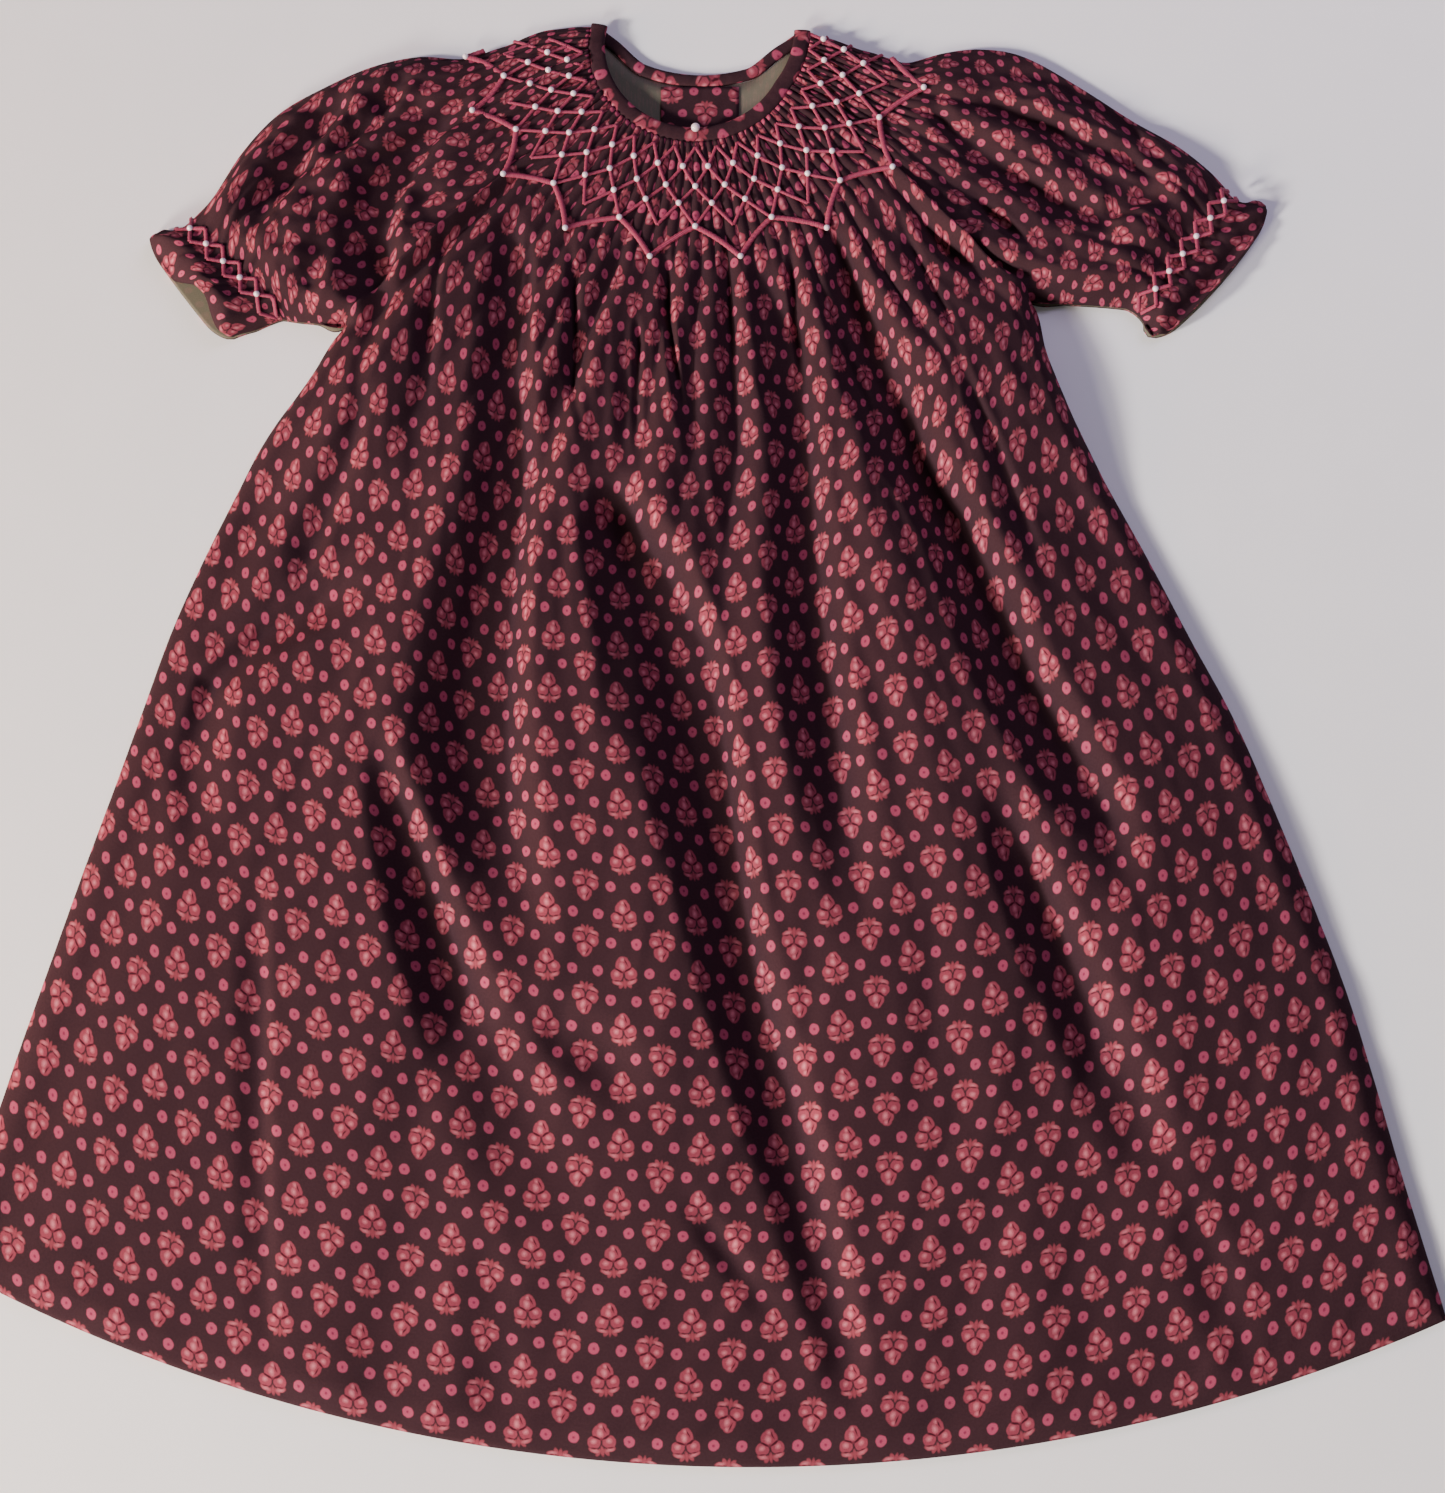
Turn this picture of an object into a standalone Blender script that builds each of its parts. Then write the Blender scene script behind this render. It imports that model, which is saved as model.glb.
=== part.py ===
"""Smocked dress laid flat: front, back, two puff sleeves, neck bindings, placket and pearl."""
import math

import bmesh
import bpy
import numpy as np

# Sizes are in millimetres and turned into metres when a mesh is made.
MM = 0.001

# Cloth walls and gaps.
WALL = 1.2
STEEP_WALL = 1.7
SEAM_GAP = 0.35
LAYER_GAP = 0.3
EDGE_TOP = 2 * WALL + LAYER_GAP
FOLD_HALF = 1.7
FOLD_RUN = 1.0
INNER_RUN = 1.6

# Neck ring and smocking.
NECK_Y = 345.0
NECK_R = 50.0
SMOCK_R = 106.0
FRONT_PLEATS = 34
SLEEVE_PLEATS = 12
PLEAT_RISE = 0.8
CUFF_RISE = 0.7
EDGE_SLOPE = 14.0
SIDE_LEVEL = 4.5
SIDE_RISE = 0.13
SIDE_TOP_Y = (110.0, 205.0)

# Neck bindings, placket and pearl.
BIND_WIDTH = 8.0
BACK_BIND_WIDTH = 6.0
BIND_HEIGHT = 3.0
BIND_STEPS = 44
BACK_BIND_STEPS = 18
PLACKET_X = (-17.0, 21.0)
PLACKET_Y = (329.0, 248.0)
PEARL_DIAMETER = 4.4
PEARL_Y = 304.0

# The middle of the outline, moved to the origin.
MIDDLE_X = -0.5
MIDDLE_Y = 20.5

# Front and back sections from neck to hem: y at the centre, then the left and right ends.
SECTIONS = [
    # centre_y, left_x, left_y, right_x, right_y
    (297.5, -44.5, 322, 45.5, 325.5),
    (286, -52, 315, 54, 320),
    (277, -59, 310, 62, 315),
    (268, -66, 303, 69, 308),
    (259, -73, 297, 76, 302),
    (250, -80, 292, 83, 297),
    (241, -87, 287, 90, 292),
    (223, -99, 273, 103, 276),
    (200, -119, 254, 121, 254),
    (170, -142, 230, 140, 235),
    (138, -167, 204, 160, 217),
    (108, -184, 176, 168, 188),
    (76, -202, 148, 179, 158),
    (44, -216, 118, 193, 126),
    (10, -230, 86, 211, 90),
    (-26, -243, 52, 229, 52),
    (-64, -254, 16, 248, 13),
    (-104, -265, -20, 264, -28),
    (-144, -277, -58, 279, -70),
    (-184, -289, -98, 293, -112),
    (-224, -301, -138, 304, -154),
    (-258, -311, -173, 313, -192),
    (-288, -321, -203, 321, -223),
    (-309, -328, -223, 327, -246),
    (-320, -331, -233, 330, -258),
]

# The back has two more sections above the front neckline.
BACK_TOP = [
    # centre_y, left_x, left_y, right_x, right_y
    (329, -51.8, 352, 54.5, 349),
    (314, -51.2, 340, 52.6, 339),
]

# Sleeve sections from the neck to the ruffle: raglan or underarm edge, top fold, outward bow.
SLEEVE_RIGHT_OF_PHOTO = [
    # bottom_x, bottom_y, top_x, top_y, bow
    (45.5, 325.5, 56, 357, 2.5),
    (54, 320, 65, 355, 2.8),
    (62, 315, 73, 352, 3.0),
    (69, 308, 80, 349, 3.5),
    (76, 302, 87, 347, 4.0),
    (83, 297, 95, 344, 4.5),
    (90, 292, 104, 342, 5.0),
    (103, 276, 121, 347, 6.0),
    (121, 254, 140, 349, 10.0),
    (140, 235, 160, 345, 12.0),
    (160, 217, 185, 330, 10.0),
    (178, 216, 212, 311, 8.0),
    (193, 215, 233, 298, 6.0),
    (203, 214, 247, 286, 4.0),
    (207, 213, 254, 278, 3.0),
    (211, 210, 259, 271, 3.0),
    (214, 206, 265, 268, 3.0),
    (217, 201, 272, 267, 3.5),
    (220, 196, 278, 264, 4.0),
]
SLEEVE_LEFT_OF_PHOTO = [
    # bottom_x, bottom_y, top_x, top_y, bow
    (-44.5, 322, -51, 361, 4.0),
    (-52, 315, -59, 361, 4.5),
    (-59, 310, -66, 360, 5.0),
    (-66, 303, -74, 359, 5.2),
    (-73, 297, -82, 356, 5.5),
    (-80, 292, -90, 352, 5.8),
    (-87, 287, -98, 349, 6.0),
    (-99, 273, -114, 344, 7.0),
    (-119, 254, -135, 345, 9.0),
    (-142, 230, -157, 340, 11.0),
    (-167, 204, -180, 329, 11.0),
    (-180, 206, -202, 315, 8.0),
    (-189, 207, -219, 295, 6.0),
    (-195, 208, -232, 272, 4.0),
    (-197, 208, -239, 263, 3.0),
    (-200, 207, -246, 256, 2.0),
    (-205, 205, -252, 254, 1.5),
    (-214, 201, -259, 253, 1.0),
    (-225, 196, -265, 249, 1.0),
]
BAND_ROWS = (14, 15, 16)
RUFFLE_ROWS = (17, 18)
UNDERARM_ROW = 10

# Height of the upper cloth above its resting edge, by distance from the neck centre.
PLATEAU = [
    # distance, height
    (40, 3.6),
    (104, 4.6),
    (128, 8.0),
    (165, 12.5),
    (220, 16.0),
    (345, 18.0),
    (445, 15.0),
    (545, 10.0),
    (625, 5.0),
    (670, 3.0),
]

# Troughs between the folds: name, then rows of x, y, depth, left half width, right half width.
TROUGHS = {
    "left_main": [
        (-88, 262, 0, 9, 7),
        (-86, 234, 10, 16, 9),
        (-85, 190, 13, 22, 11),
        (-85, 142, 15, 28, 14),
        (-88, 100, 16, 32, 16),
        (-90, 60, 17, 42, 19),
        (-91, 20, 17, 50, 21),
        (-88, -20, 15, 44, 21),
        (-81, -60, 10, 32, 19),
        (-74, -104, 0, 24, 18),
    ],
    "left_lower": [
        (-146, 4, 0, 10, 9),
        (-134, -32, 9, 17, 13),
        (-121, -74, 13, 22, 17),
        (-105, -114, 12, 26, 19),
        (-88, -146, 7, 34, 24),
        (-70, -182, 4, 40, 26),
        (-56, -222, 0, 34, 22),
    ],
    "left_branch": [
        (-84, -124, 0, 16, 14),
        (-60, -132, 4, 20, 20),
        (-38, -146, 4, 20, 20),
        (-16, -174, 0, 16, 18),
    ],
    "middle": [
        (-42, 126, 0, 8, 12),
        (-34, 106, 14, 24, 16),
        (-18, 80, 16, 40, 20),
        (-2, 46, 17, 50, 18),
        (6, 10, 17, 48, 17),
        (10, -30, 16, 36, 17),
        (16, -70, 15, 28, 18),
        (24, -110, 15, 25, 18),
        (34, -148, 14, 24, 18),
        (46, -188, 12, 22, 17),
        (56, -228, 8, 20, 15),
        (66, -268, 5, 17, 13),
        (70, -300, 0, 13, 11),
    ],
    "middle_branch": [
        (-6, -200, 0, 10, 8),
        (14, -228, 3, 10, 8),
        (42, -264, 0, 10, 8),
    ],
    "right_of_middle": [
        (28, 240, 0, 8, 7),
        (43, 200, 9, 18, 11),
        (49, 156, 12, 22, 14),
        (51, 112, 14, 24, 16),
        (54, 68, 15, 26, 17),
        (59, 24, 14, 27, 18),
        (65, -16, 11, 26, 18),
        (72, -56, 6, 24, 17),
        (78, -96, 0, 20, 15),
    ],
    "right_main": [
        (66, 260, 0, 9, 7),
        (74, 222, 10, 16, 11),
        (86, 182, 13, 24, 14),
        (102, 142, 14, 22, 15),
        (122, 104, 16, 20, 15),
        (137, 66, 17, 26, 17),
        (152, 28, 16, 28, 17),
        (170, -4, 14, 27, 17),
        (187, -36, 10, 24, 16),
        (196, -80, 0, 18, 14),
    ],
    "right_short": [
        (58, 220, 0, 6, 6),
        (74, 176, 5, 12, 8),
        (88, 130, 4, 16, 9),
        (96, 96, 0, 12, 9),
    ],
    "right_lower": [
        (136, -16, 0, 12, 9),
        (149, -54, 10, 20, 14),
        (162, -90, 12, 22, 16),
        (178, -128, 8, 24, 18),
        (196, -168, 5, 26, 18),
        (212, -208, 0, 22, 16),
    ],
    "left_side": [
        (-152, 78, 0, 7, 12),
        (-174, 66, 8, 8, 18),
        (-200, 50, 9, 9, 18),
        (-222, 28, 7, 10, 18),
        (-228, -10, 5, 14, 20),
        (-224, -60, 0, 14, 22),
    ],
    "left_seam_line": [
        (-194, -60, 0, 8, 5),
        (-194, -99, 3, 13, 7),
        (-192, -162, 3, 14, 7),
        (-188, -228, 2, 14, 7),
        (-184, -284, 0, 12, 6),
    ],
    "centre_gather_a": [
        (-58, 230, 0, 5, 5),
        (-56, 190, 4, 8, 7),
        (-48, 144, 0, 7, 6),
    ],
    "centre_gather_b": [
        (-31, 205, 0, 5, 5),
        (-32, 165, 4, 7, 6),
        (-33, 130, 0, 6, 6),
    ],
    "centre_gather_c": [
        (-6, 215, 0, 5, 5),
        (-3, 175, 3, 6, 6),
        (2, 132, 0, 6, 6),
    ],
    "left_gather_a": [
        (-127, 228, 0, 6, 6),
        (-126, 194, 5, 8, 7),
        (-128, 155, 0, 7, 7),
    ],
    "left_gather_b": [
        (-146, 222, 0, 6, 6),
        (-151, 196, 4, 8, 7),
        (-160, 165, 0, 7, 7),
    ],
    "left_sleeve_upper": [
        (-166, 326, 0, 7, 6),
        (-175, 310, 9, 14, 8),
        (-190, 290, 11, 16, 9),
        (-198, 270, 9, 14, 9),
        (-212, 250, 3, 10, 8),
    ],
    "left_sleeve_main": [
        (-108, 320, 0, 7, 7),
        (-122, 308, 8, 10, 9),
        (-136, 292, 12, 14, 10),
        (-147, 274, 14, 20, 11),
        (-151, 254, 15, 26, 12),
        (-151, 236, 14, 26, 12),
        (-152, 220, 10, 22, 12),
        (-158, 206, 4, 16, 12),
    ],
    "left_sleeve_short": [
        (-140, 332, 0, 6, 5),
        (-146, 320, 8, 10, 7),
        (-164, 302, 5, 10, 7),
        (-178, 282, 0, 8, 7),
    ],
    "left_sleeve_low": [
        (-172, 246, 0, 8, 7),
        (-180, 228, 6, 14, 9),
        (-186, 214, 7, 16, 9),
        (-192, 204, 3, 12, 9),
    ],
    "right_sleeve_yoke": [
        (112, 322, 0, 7, 7),
        (122, 304, 5, 9, 7),
        (136, 294, 7, 11, 8),
        (150, 284, 8, 12, 8),
        (176, 266, 11, 14, 9),
        (196, 257, 10, 13, 9),
        (212, 266, 6, 10, 8),
        (224, 276, 0, 8, 7),
    ],
    "right_sleeve_low": [
        (104, 256, 0, 7, 7),
        (124, 240, 7, 12, 8),
        (150, 229, 8, 14, 9),
        (172, 222, 4, 11, 9),
        (186, 216, 0, 8, 8),
    ],
    "right_sleeve_top": [
        (142, 340, 0, 7, 7),
        (172, 332, 5, 10, 7),
        (198, 318, 7, 12, 8),
        (216, 296, 5, 12, 8),
        (228, 278, 0, 8, 7),
    ],
    "right_sleeve_long": [
        (130, 322, 0, 6, 6),
        (148, 317, 6, 8, 6),
        (168, 308, 8, 10, 7),
        (186, 299, 9, 11, 7),
        (206, 290, 9, 12, 8),
        (218, 276, 4, 9, 7),
        (226, 262, 0, 7, 7),
    ],
    "right_sleeve_under": [
        (132, 266, 0, 6, 5),
        (140, 260, 5, 6, 5),
        (150, 251, 5, 6, 5),
        (160, 243, 0, 6, 5),
    ],
    "cuff_right_of_photo": [
        (210, 211, 6, 22, 22),
        (235, 243, 8, 22, 22),
        (258, 272, 6, 22, 22),
    ],
    "cuff_left_of_photo": [
        (-200, 208, 6, 22, 22),
        (-223, 234, 8, 22, 22),
        (-246, 257, 6, 22, 22),
    ],
}

# Gathers that follow the columns: distance below the neck centre, fine and coarse height.
GATHERS = [
    # distance, fine, coarse
    (45, 0.0, 0.0),
    (102, 0.2, 0.3),
    (118, 1.6, 0.8),
    (140, 2.3, 1.6),
    (175, 1.9, 2.4),
    (210, 1.1, 2.8),
    (270, 0.4, 2.2),
    (335, 0.0, 1.6),
    (450, 0.0, 1.0),
    (560, 0.0, 0.8),
    (640, 0.0, 0.9),
    (670, 0.0, 0.6),
]
FINE_SPAN = 2.0
COARSE_SPAN = 4.3


def column(table, key, place):
    """Reads one column of a table at a place, between its rows."""
    keys = [row[0] for row in table]
    values = [row[key] for row in table]
    return np.interp(place, keys, values)


def outline():
    """The outer edge in plan, from one neck peak round the hem to the other."""
    left = [(row[2], row[3]) for row in SLEEVE_LEFT_OF_PHOTO]
    cuff_left = [(row[0], row[1]) for row in reversed(SLEEVE_LEFT_OF_PHOTO[UNDERARM_ROW:])]
    side_left = [(row[1], row[2]) for row in SECTIONS[UNDERARM_ROW:]]
    hem = [tuple(point) for point in arc_row(SECTIONS[-1], np.linspace(-1, 1, 25))[1:-1]]
    side_right = [(row[3], row[4]) for row in reversed(SECTIONS[UNDERARM_ROW:])]
    cuff_right = [(row[0], row[1]) for row in SLEEVE_RIGHT_OF_PHOTO[UNDERARM_ROW:]]
    right = [(row[2], row[3]) for row in reversed(SLEEVE_RIGHT_OF_PHOTO)]
    return np.array(left + cuff_left + side_left + hem + side_right + cuff_right + right, float)


def segment_distance(x, y, a, b):
    """Distance to one segment, the share along it and the side on which the point lies."""
    dx, dy = b[0] - a[0], b[1] - a[1]
    length_2 = dx * dx + dy * dy + 1e-9
    share = np.clip(((x - a[0]) * dx + (y - a[1]) * dy) / length_2, 0, 1)
    off_x = x - a[0] - share * dx
    off_y = y - a[1] - share * dy
    side = dx * off_y - dy * off_x
    return np.hypot(off_x, off_y), share, side


def edge_distance(x, y, edge):
    """Distance to the nearest part of the outline."""
    best = np.full(np.shape(x), 1e6)
    for a, b in zip(edge[:-1], edge[1:]):
        best = np.minimum(best, segment_distance(x, y, a, b)[0])
    return best


def trough(x, y, rows):
    """Depth of one trough, from the nearest place on its line."""
    best = np.full(np.shape(x), 1e6)
    depth = np.zeros(np.shape(x))
    for a, b in zip(rows[:-1], rows[1:]):
        distance, share, side = segment_distance(x, y, a, b)
        deep = a[2] + (b[2] - a[2]) * share
        wide_left = a[3] + (b[3] - a[3]) * share
        wide_right = a[4] + (b[4] - a[4]) * share
        heading_down = b[1] < a[1]
        on_right = side > 0 if heading_down else side < 0
        wide = np.where(on_right, wide_right, wide_left)
        near = distance < best
        best = np.where(near, distance, best)
        reach = np.clip(distance / wide, 0, 1)
        depth = np.where(near, deep * np.cos(reach * math.pi / 2) ** 2, depth)
    return depth


def soft_floor(height, bend=1.2):
    """Keeps a height above zero with a rounded turn."""
    return 0.5 * (height + np.sqrt(height * height + bend * bend)) - bend * 0.25


def upper_height(x, y, gather, edge):
    """Height of the upper cloth, without its pleats."""
    away = edge_distance(x, y, edge)
    reach = np.clip(away / EDGE_SLOPE, 0, 1)
    rise = np.sin(reach * math.pi / 2)
    level = column(PLATEAU, 1, np.hypot(x, y - NECK_Y))
    side = SIDE_LEVEL + SIDE_RISE * away + np.interp(y, SIDE_TOP_Y, (0.0, 20.0))
    level = 0.5 * (level + side - np.sqrt((level - side) ** 2 + 4.0))
    for rows in TROUGHS.values():
        level = level - trough(x, y, rows)
    lift = soft_floor(level + gather)
    lip = 0.7 * np.clip(away, 0, 1)
    return EDGE_TOP + lip + rise * lift


def gathers(place, distance):
    """Uneven gathers along the columns; place is counted in pleats."""
    uneven = 0.75 + 0.35 * np.sin(place * 0.71 + 1.3) + 0.2 * np.sin(place * 1.37)
    fine = column(GATHERS, 1, distance) * np.cos(2 * math.pi * place / FINE_SPAN + 0.4)
    wander = place + 0.6 * np.sin(place * 0.53)
    coarse = column(GATHERS, 2, distance) * np.cos(2 * math.pi * wander / COARSE_SPAN + 1.0)
    return uneven * (fine + coarse)


def pleat_rise(distance):
    """Height of the smocked pleats by distance from the neck centre."""
    return PLEAT_RISE * np.clip((SMOCK_R + 14 - distance) / 14, 0, 1)


def arc_row(row, shares):
    """Points of a section on the circle through its two ends and its centre."""
    centre_y, left_x, left_y, right_x, right_y = row[:5]
    middle_x = 0.0
    ax, ay = left_x - middle_x, left_y - centre_y
    bx, by = right_x - middle_x, right_y - centre_y
    twist = 2 * (ax * by - ay * bx)
    across = (by * (ax * ax + ay * ay) - ay * (bx * bx + by * by)) / twist
    along = (ax * (bx * bx + by * by) - bx * (ax * ax + ay * ay)) / twist
    radius = math.hypot(across, along)
    cx, cy = middle_x + across, centre_y + along
    start = math.atan2(left_x - cx, cy - left_y)
    stop = math.atan2(right_x - cx, cy - right_y)
    angle = start + (np.asarray(shares) + 1) / 2 * (stop - start)
    return np.stack([cx + radius * np.sin(angle), cy - radius * np.cos(angle)], axis=-1)


def front_walls(edge):
    """Outer and inner points of the front."""
    columns = 2 * FRONT_PLEATS
    outer = []
    inner = []
    for row in SECTIONS:
        half = (row[3] - row[1]) / 2
        shares = np.linspace(-1, 1, columns + 1) * (1 - SEAM_GAP / half)
        plan = arc_row(row, shares)
        x, y = plan[:, 0], plan[:, 1]
        distance = NECK_Y - row[0]
        place = np.arange(columns + 1) / 2
        base = upper_height(x, y, gathers(place, distance), edge)
        rise = pleat_rise(distance)
        zigzag = rise * np.where(np.arange(columns + 1) % 2 == 1, 1, 0)
        wall = WALL if distance < SMOCK_R else STEEP_WALL
        under = np.maximum(base - wall, WALL + LAYER_GAP)
        outer.append(np.stack([x, y, base + zigzag], axis=-1))
        inner.append(np.stack([x, y, under], axis=-1))
    return np.array(outer), np.array(inner)


def back_walls():
    """Outer and inner points of the back, flat on what it rests on."""
    columns = 12
    upper = []
    lower = []
    for row in BACK_TOP + SECTIONS:
        half = (row[3] - row[1]) / 2
        shares = np.linspace(-1, 1, columns + 1) * (1 - SEAM_GAP / half)
        plan = arc_row(row, shares)
        upper.append(np.stack([plan[:, 0], plan[:, 1], np.full(columns + 1, WALL)], axis=-1))
        lower.append(np.stack([plan[:, 0], plan[:, 1], np.zeros(columns + 1)], axis=-1))
    return np.array(upper), np.array(lower)


def bowed(bottom, top, bow, shares, sign):
    """Points from the top fold to the bottom edge of a sleeve section, bowed outward."""
    bottom = np.array(bottom, float)
    top = np.array(top, float)
    line = top + (bottom - top) * shares[:, None]
    chord = (bottom - top) / np.linalg.norm(bottom - top)
    out = np.array([-chord[1], chord[0]]) * sign
    return line + out * (bow * 4 * shares * (1 - shares))[:, None]


def cuff_relief(index, place):
    """Pleats of the cuff band and waves of the ruffle."""
    if index in BAND_ROWS:
        return 0.0, CUFF_RISE
    if index in RUFFLE_ROWS:
        return 1.1 * np.cos(2 * math.pi * place / 2.6 + index), 0.0
    return 0.0, 0.0


def sleeve_walls(table, sign, edge):
    """Outer and inner points of a sleeve, folded at its top edge into two layers."""
    columns = 2 * SLEEVE_PLEATS
    lower_columns = 8
    outer = []
    inner = []
    for index, row in enumerate(table):
        bottom, top, bow = row[0:2], row[2:4], row[4]
        length = math.dist(bottom, top)
        gap = 1 - SEAM_GAP / length
        shares = np.linspace(1, 0, columns + 1)[:-1] * gap
        shares = np.append(shares, FOLD_RUN / length)
        plan = bowed(bottom, top, bow, shares, sign)
        x, y = plan[:, 0], plan[:, 1]
        distance = np.hypot(x, y - NECK_Y)
        place = np.arange(columns + 1) / 2
        gather = gathers(place + 3, np.minimum(distance, 190)) if index < 14 else 0.0
        waves, band = cuff_relief(index, place)
        base = upper_height(x, y, gather + waves, edge)
        rise = np.maximum(pleat_rise(distance) if index < 8 else 0.0, band)
        zigzag = rise * np.where(np.arange(columns + 1) % 2 == 1, 1, 0)
        base[-1] = 2 * FOLD_HALF
        zigzag[-1] = 0.0
        wall = WALL if index < 7 or index > 12 else STEEP_WALL
        under = np.maximum(base - wall, WALL + LAYER_GAP)
        under[-1] = FOLD_HALF + 0.5
        upper = np.stack([x, y, base + zigzag], axis=-1)
        inside = np.stack([x, y, under], axis=-1)
        tip = bowed(bottom, top, bow, np.array([0.0, INNER_RUN / length]), sign)
        inside[-1][:2] = tip[1]
        fold_out = np.array([[tip[0][0], tip[0][1], FOLD_HALF]])
        turn = tip[0] + (tip[1] - tip[0]) * ((INNER_RUN - 0.35) / INNER_RUN)
        fold_in = np.array([[turn[0], turn[1], FOLD_HALF]])
        spread = np.append(FOLD_RUN / length, np.linspace(0, 1, lower_columns + 1)[1:] * gap)
        low = bowed(bottom, top, bow, spread, sign)
        low_out = np.stack([low[:, 0], low[:, 1], np.zeros(len(low))], axis=-1)
        low_in = np.stack([low[:, 0], low[:, 1], np.full(len(low), WALL)], axis=-1)
        low_in[0][:2] = tip[1]
        outer.append(np.concatenate([upper, fold_out, low_out]))
        inner.append(np.concatenate([inside, fold_in, low_in]))
    return np.array(outer), np.array(inner)


def ring_walls(path, width, height, flat_bottom):
    """Sections of a soft band along a path of x, y, z and outward direction."""
    profile = [(-0.5, 0.0), (-0.3, 0.42), (0.0, 0.5), (0.3, 0.42), (0.5, 0.0)]
    if flat_bottom:
        profile += [(0.42, -0.5), (-0.42, -0.5)]
    else:
        profile += [(0.3, -0.42), (-0.3, -0.42)]
    rings = []
    for x, y, z, out_x, out_y in path:
        ring = []
        for across, up in profile:
            point = (x + out_x * across * width, y + out_y * across * width, z + up * height)
            ring.append(point)
        rings.append(ring)
    return rings


def neck_edge():
    """The neck edge in plan: right sleeve, front, left sleeve, at even steps."""
    shares = np.linspace(0, 1, 13)
    low, high = SLEEVE_LEFT_OF_PHOTO[0], SLEEVE_RIGHT_OF_PHOTO[0]
    start = bowed(low[0:2], low[2:4], low[4], shares, -1)
    centre = arc_row(SECTIONS[0], np.linspace(-1, 1, 31))[1:-1]
    stop = bowed(high[0:2], high[2:4], high[4], shares, 1)[::-1]
    points = np.concatenate([start, centre, stop])
    steps = np.append(0, np.cumsum(np.linalg.norm(np.diff(points, axis=0), axis=1)))
    even = np.linspace(0, steps[-1], BIND_STEPS + 1)
    x, y = np.interp(even, steps, points[:, 0]), np.interp(even, steps, points[:, 1])
    return np.stack([x, y], axis=-1)


def front_binding_path(edge):
    """Middle of the front neck binding, from one neck peak to the other."""
    points = neck_edge()
    along = np.gradient(points, axis=0)
    along /= np.linalg.norm(along, axis=1)[:, None]
    lowest = BIND_HEIGHT * 1.5 + LAYER_GAP
    path = []
    for point, heading in zip(points, along):
        out = np.array([heading[1], -heading[0]])
        middle = point - out * (BIND_WIDTH / 2 + LAYER_GAP)
        beyond = point + out * 2
        rim = upper_height(np.array([beyond[0]]), np.array([beyond[1]]), 0.0, edge)
        height = max(float(rim[0]) - 0.7, lowest)
        path.append((middle[0], middle[1], height, out[0], out[1]))
    return path


def back_binding_path():
    """Middle of the back neck binding, above the edge of the back."""
    shares = np.linspace(-0.96, 0.96, BACK_BIND_STEPS + 1)
    row = arc_row(BACK_TOP[0], shares)
    before = arc_row(BACK_TOP[0], shares - 0.01)
    after = arc_row(BACK_TOP[0], shares + 0.01)
    path = []
    for point, a, b in zip(row, before, after):
        along = (b - a) / np.linalg.norm(b - a)
        out = np.array([along[1], -along[0]])
        middle = point - out * (BACK_BIND_WIDTH / 2 + LAYER_GAP)
        path.append((middle[0], middle[1], BIND_HEIGHT / 2, out[0], out[1]))
    return path


def finish(name, mesh_data, colour, roughness=0.85):
    """Makes a mesh object with faces out and its own material."""
    mesh = bpy.data.meshes.new(name)
    mesh_data.to_mesh(mesh)
    mesh_data.free()
    piece = bpy.data.objects.new(name, mesh)
    bpy.context.scene.collection.objects.link(piece)
    material = bpy.data.materials.new("mat_" + name)
    material.use_nodes = True
    surface = material.node_tree.nodes["Principled BSDF"]
    surface.inputs["Base Color"].default_value = (*colour, 1.0)
    surface.inputs["Roughness"].default_value = roughness
    mesh.materials.append(material)
    return piece


def place_point(point):
    """Moves a point to the shared frame and into metres."""
    return ((point[0] - MIDDLE_X) * MM, (point[1] - MIDDLE_Y) * MM, point[2] * MM)


def shell(name, outer, inner, colour):
    """A closed wall between two equal grids of points."""
    data = bmesh.new()
    rows, columns = outer.shape[:2]
    top = [[data.verts.new(place_point(p)) for p in line] for line in outer]
    low = [[data.verts.new(place_point(p)) for p in line] for line in inner]
    for i in range(rows - 1):
        for k in range(columns - 1):
            data.faces.new((top[i][k], top[i + 1][k], top[i + 1][k + 1], top[i][k + 1]))
            data.faces.new((low[i][k], low[i][k + 1], low[i + 1][k + 1], low[i + 1][k]))
    for i in range(rows - 1):
        data.faces.new((top[i][0], low[i][0], low[i + 1][0], top[i + 1][0]))
        data.faces.new((top[i][-1], top[i + 1][-1], low[i + 1][-1], low[i][-1]))
    for k in range(columns - 1):
        data.faces.new((top[0][k], top[0][k + 1], low[0][k + 1], low[0][k]))
        data.faces.new((top[-1][k], low[-1][k], low[-1][k + 1], top[-1][k + 1]))
    bmesh.ops.triangulate(data, faces=data.faces[:])
    bmesh.ops.recalc_face_normals(data, faces=data.faces[:])
    return finish(name, data, colour)


def band(name, rings, colour):
    """A closed band through rings of points, with flat ends."""
    data = bmesh.new()
    loops = [[data.verts.new(place_point(p)) for p in ring] for ring in rings]
    count = len(loops[0])
    for a, b in zip(loops[:-1], loops[1:]):
        for k in range(count):
            n = (k + 1) % count
            data.faces.new((a[k], b[k], b[n], a[n]))
    data.faces.new(loops[0])
    data.faces.new(list(reversed(loops[-1])))
    bmesh.ops.triangulate(data, faces=data.faces[:])
    bmesh.ops.recalc_face_normals(data, faces=data.faces[:])
    return finish(name, data, colour)


def placket(name, colour):
    """The strip behind the back opening, on the inside of the back."""
    low = WALL + LAYER_GAP
    rows = np.linspace(PLACKET_Y[0], PLACKET_Y[1], 6)
    columns = np.linspace(PLACKET_X[0], PLACKET_X[1], 4)
    outer = np.array([[(x, y, low + WALL) for x in columns] for y in rows])
    inner = np.array([[(x, y, low) for x in columns] for y in rows])
    return shell(name, outer, inner, colour)


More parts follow.
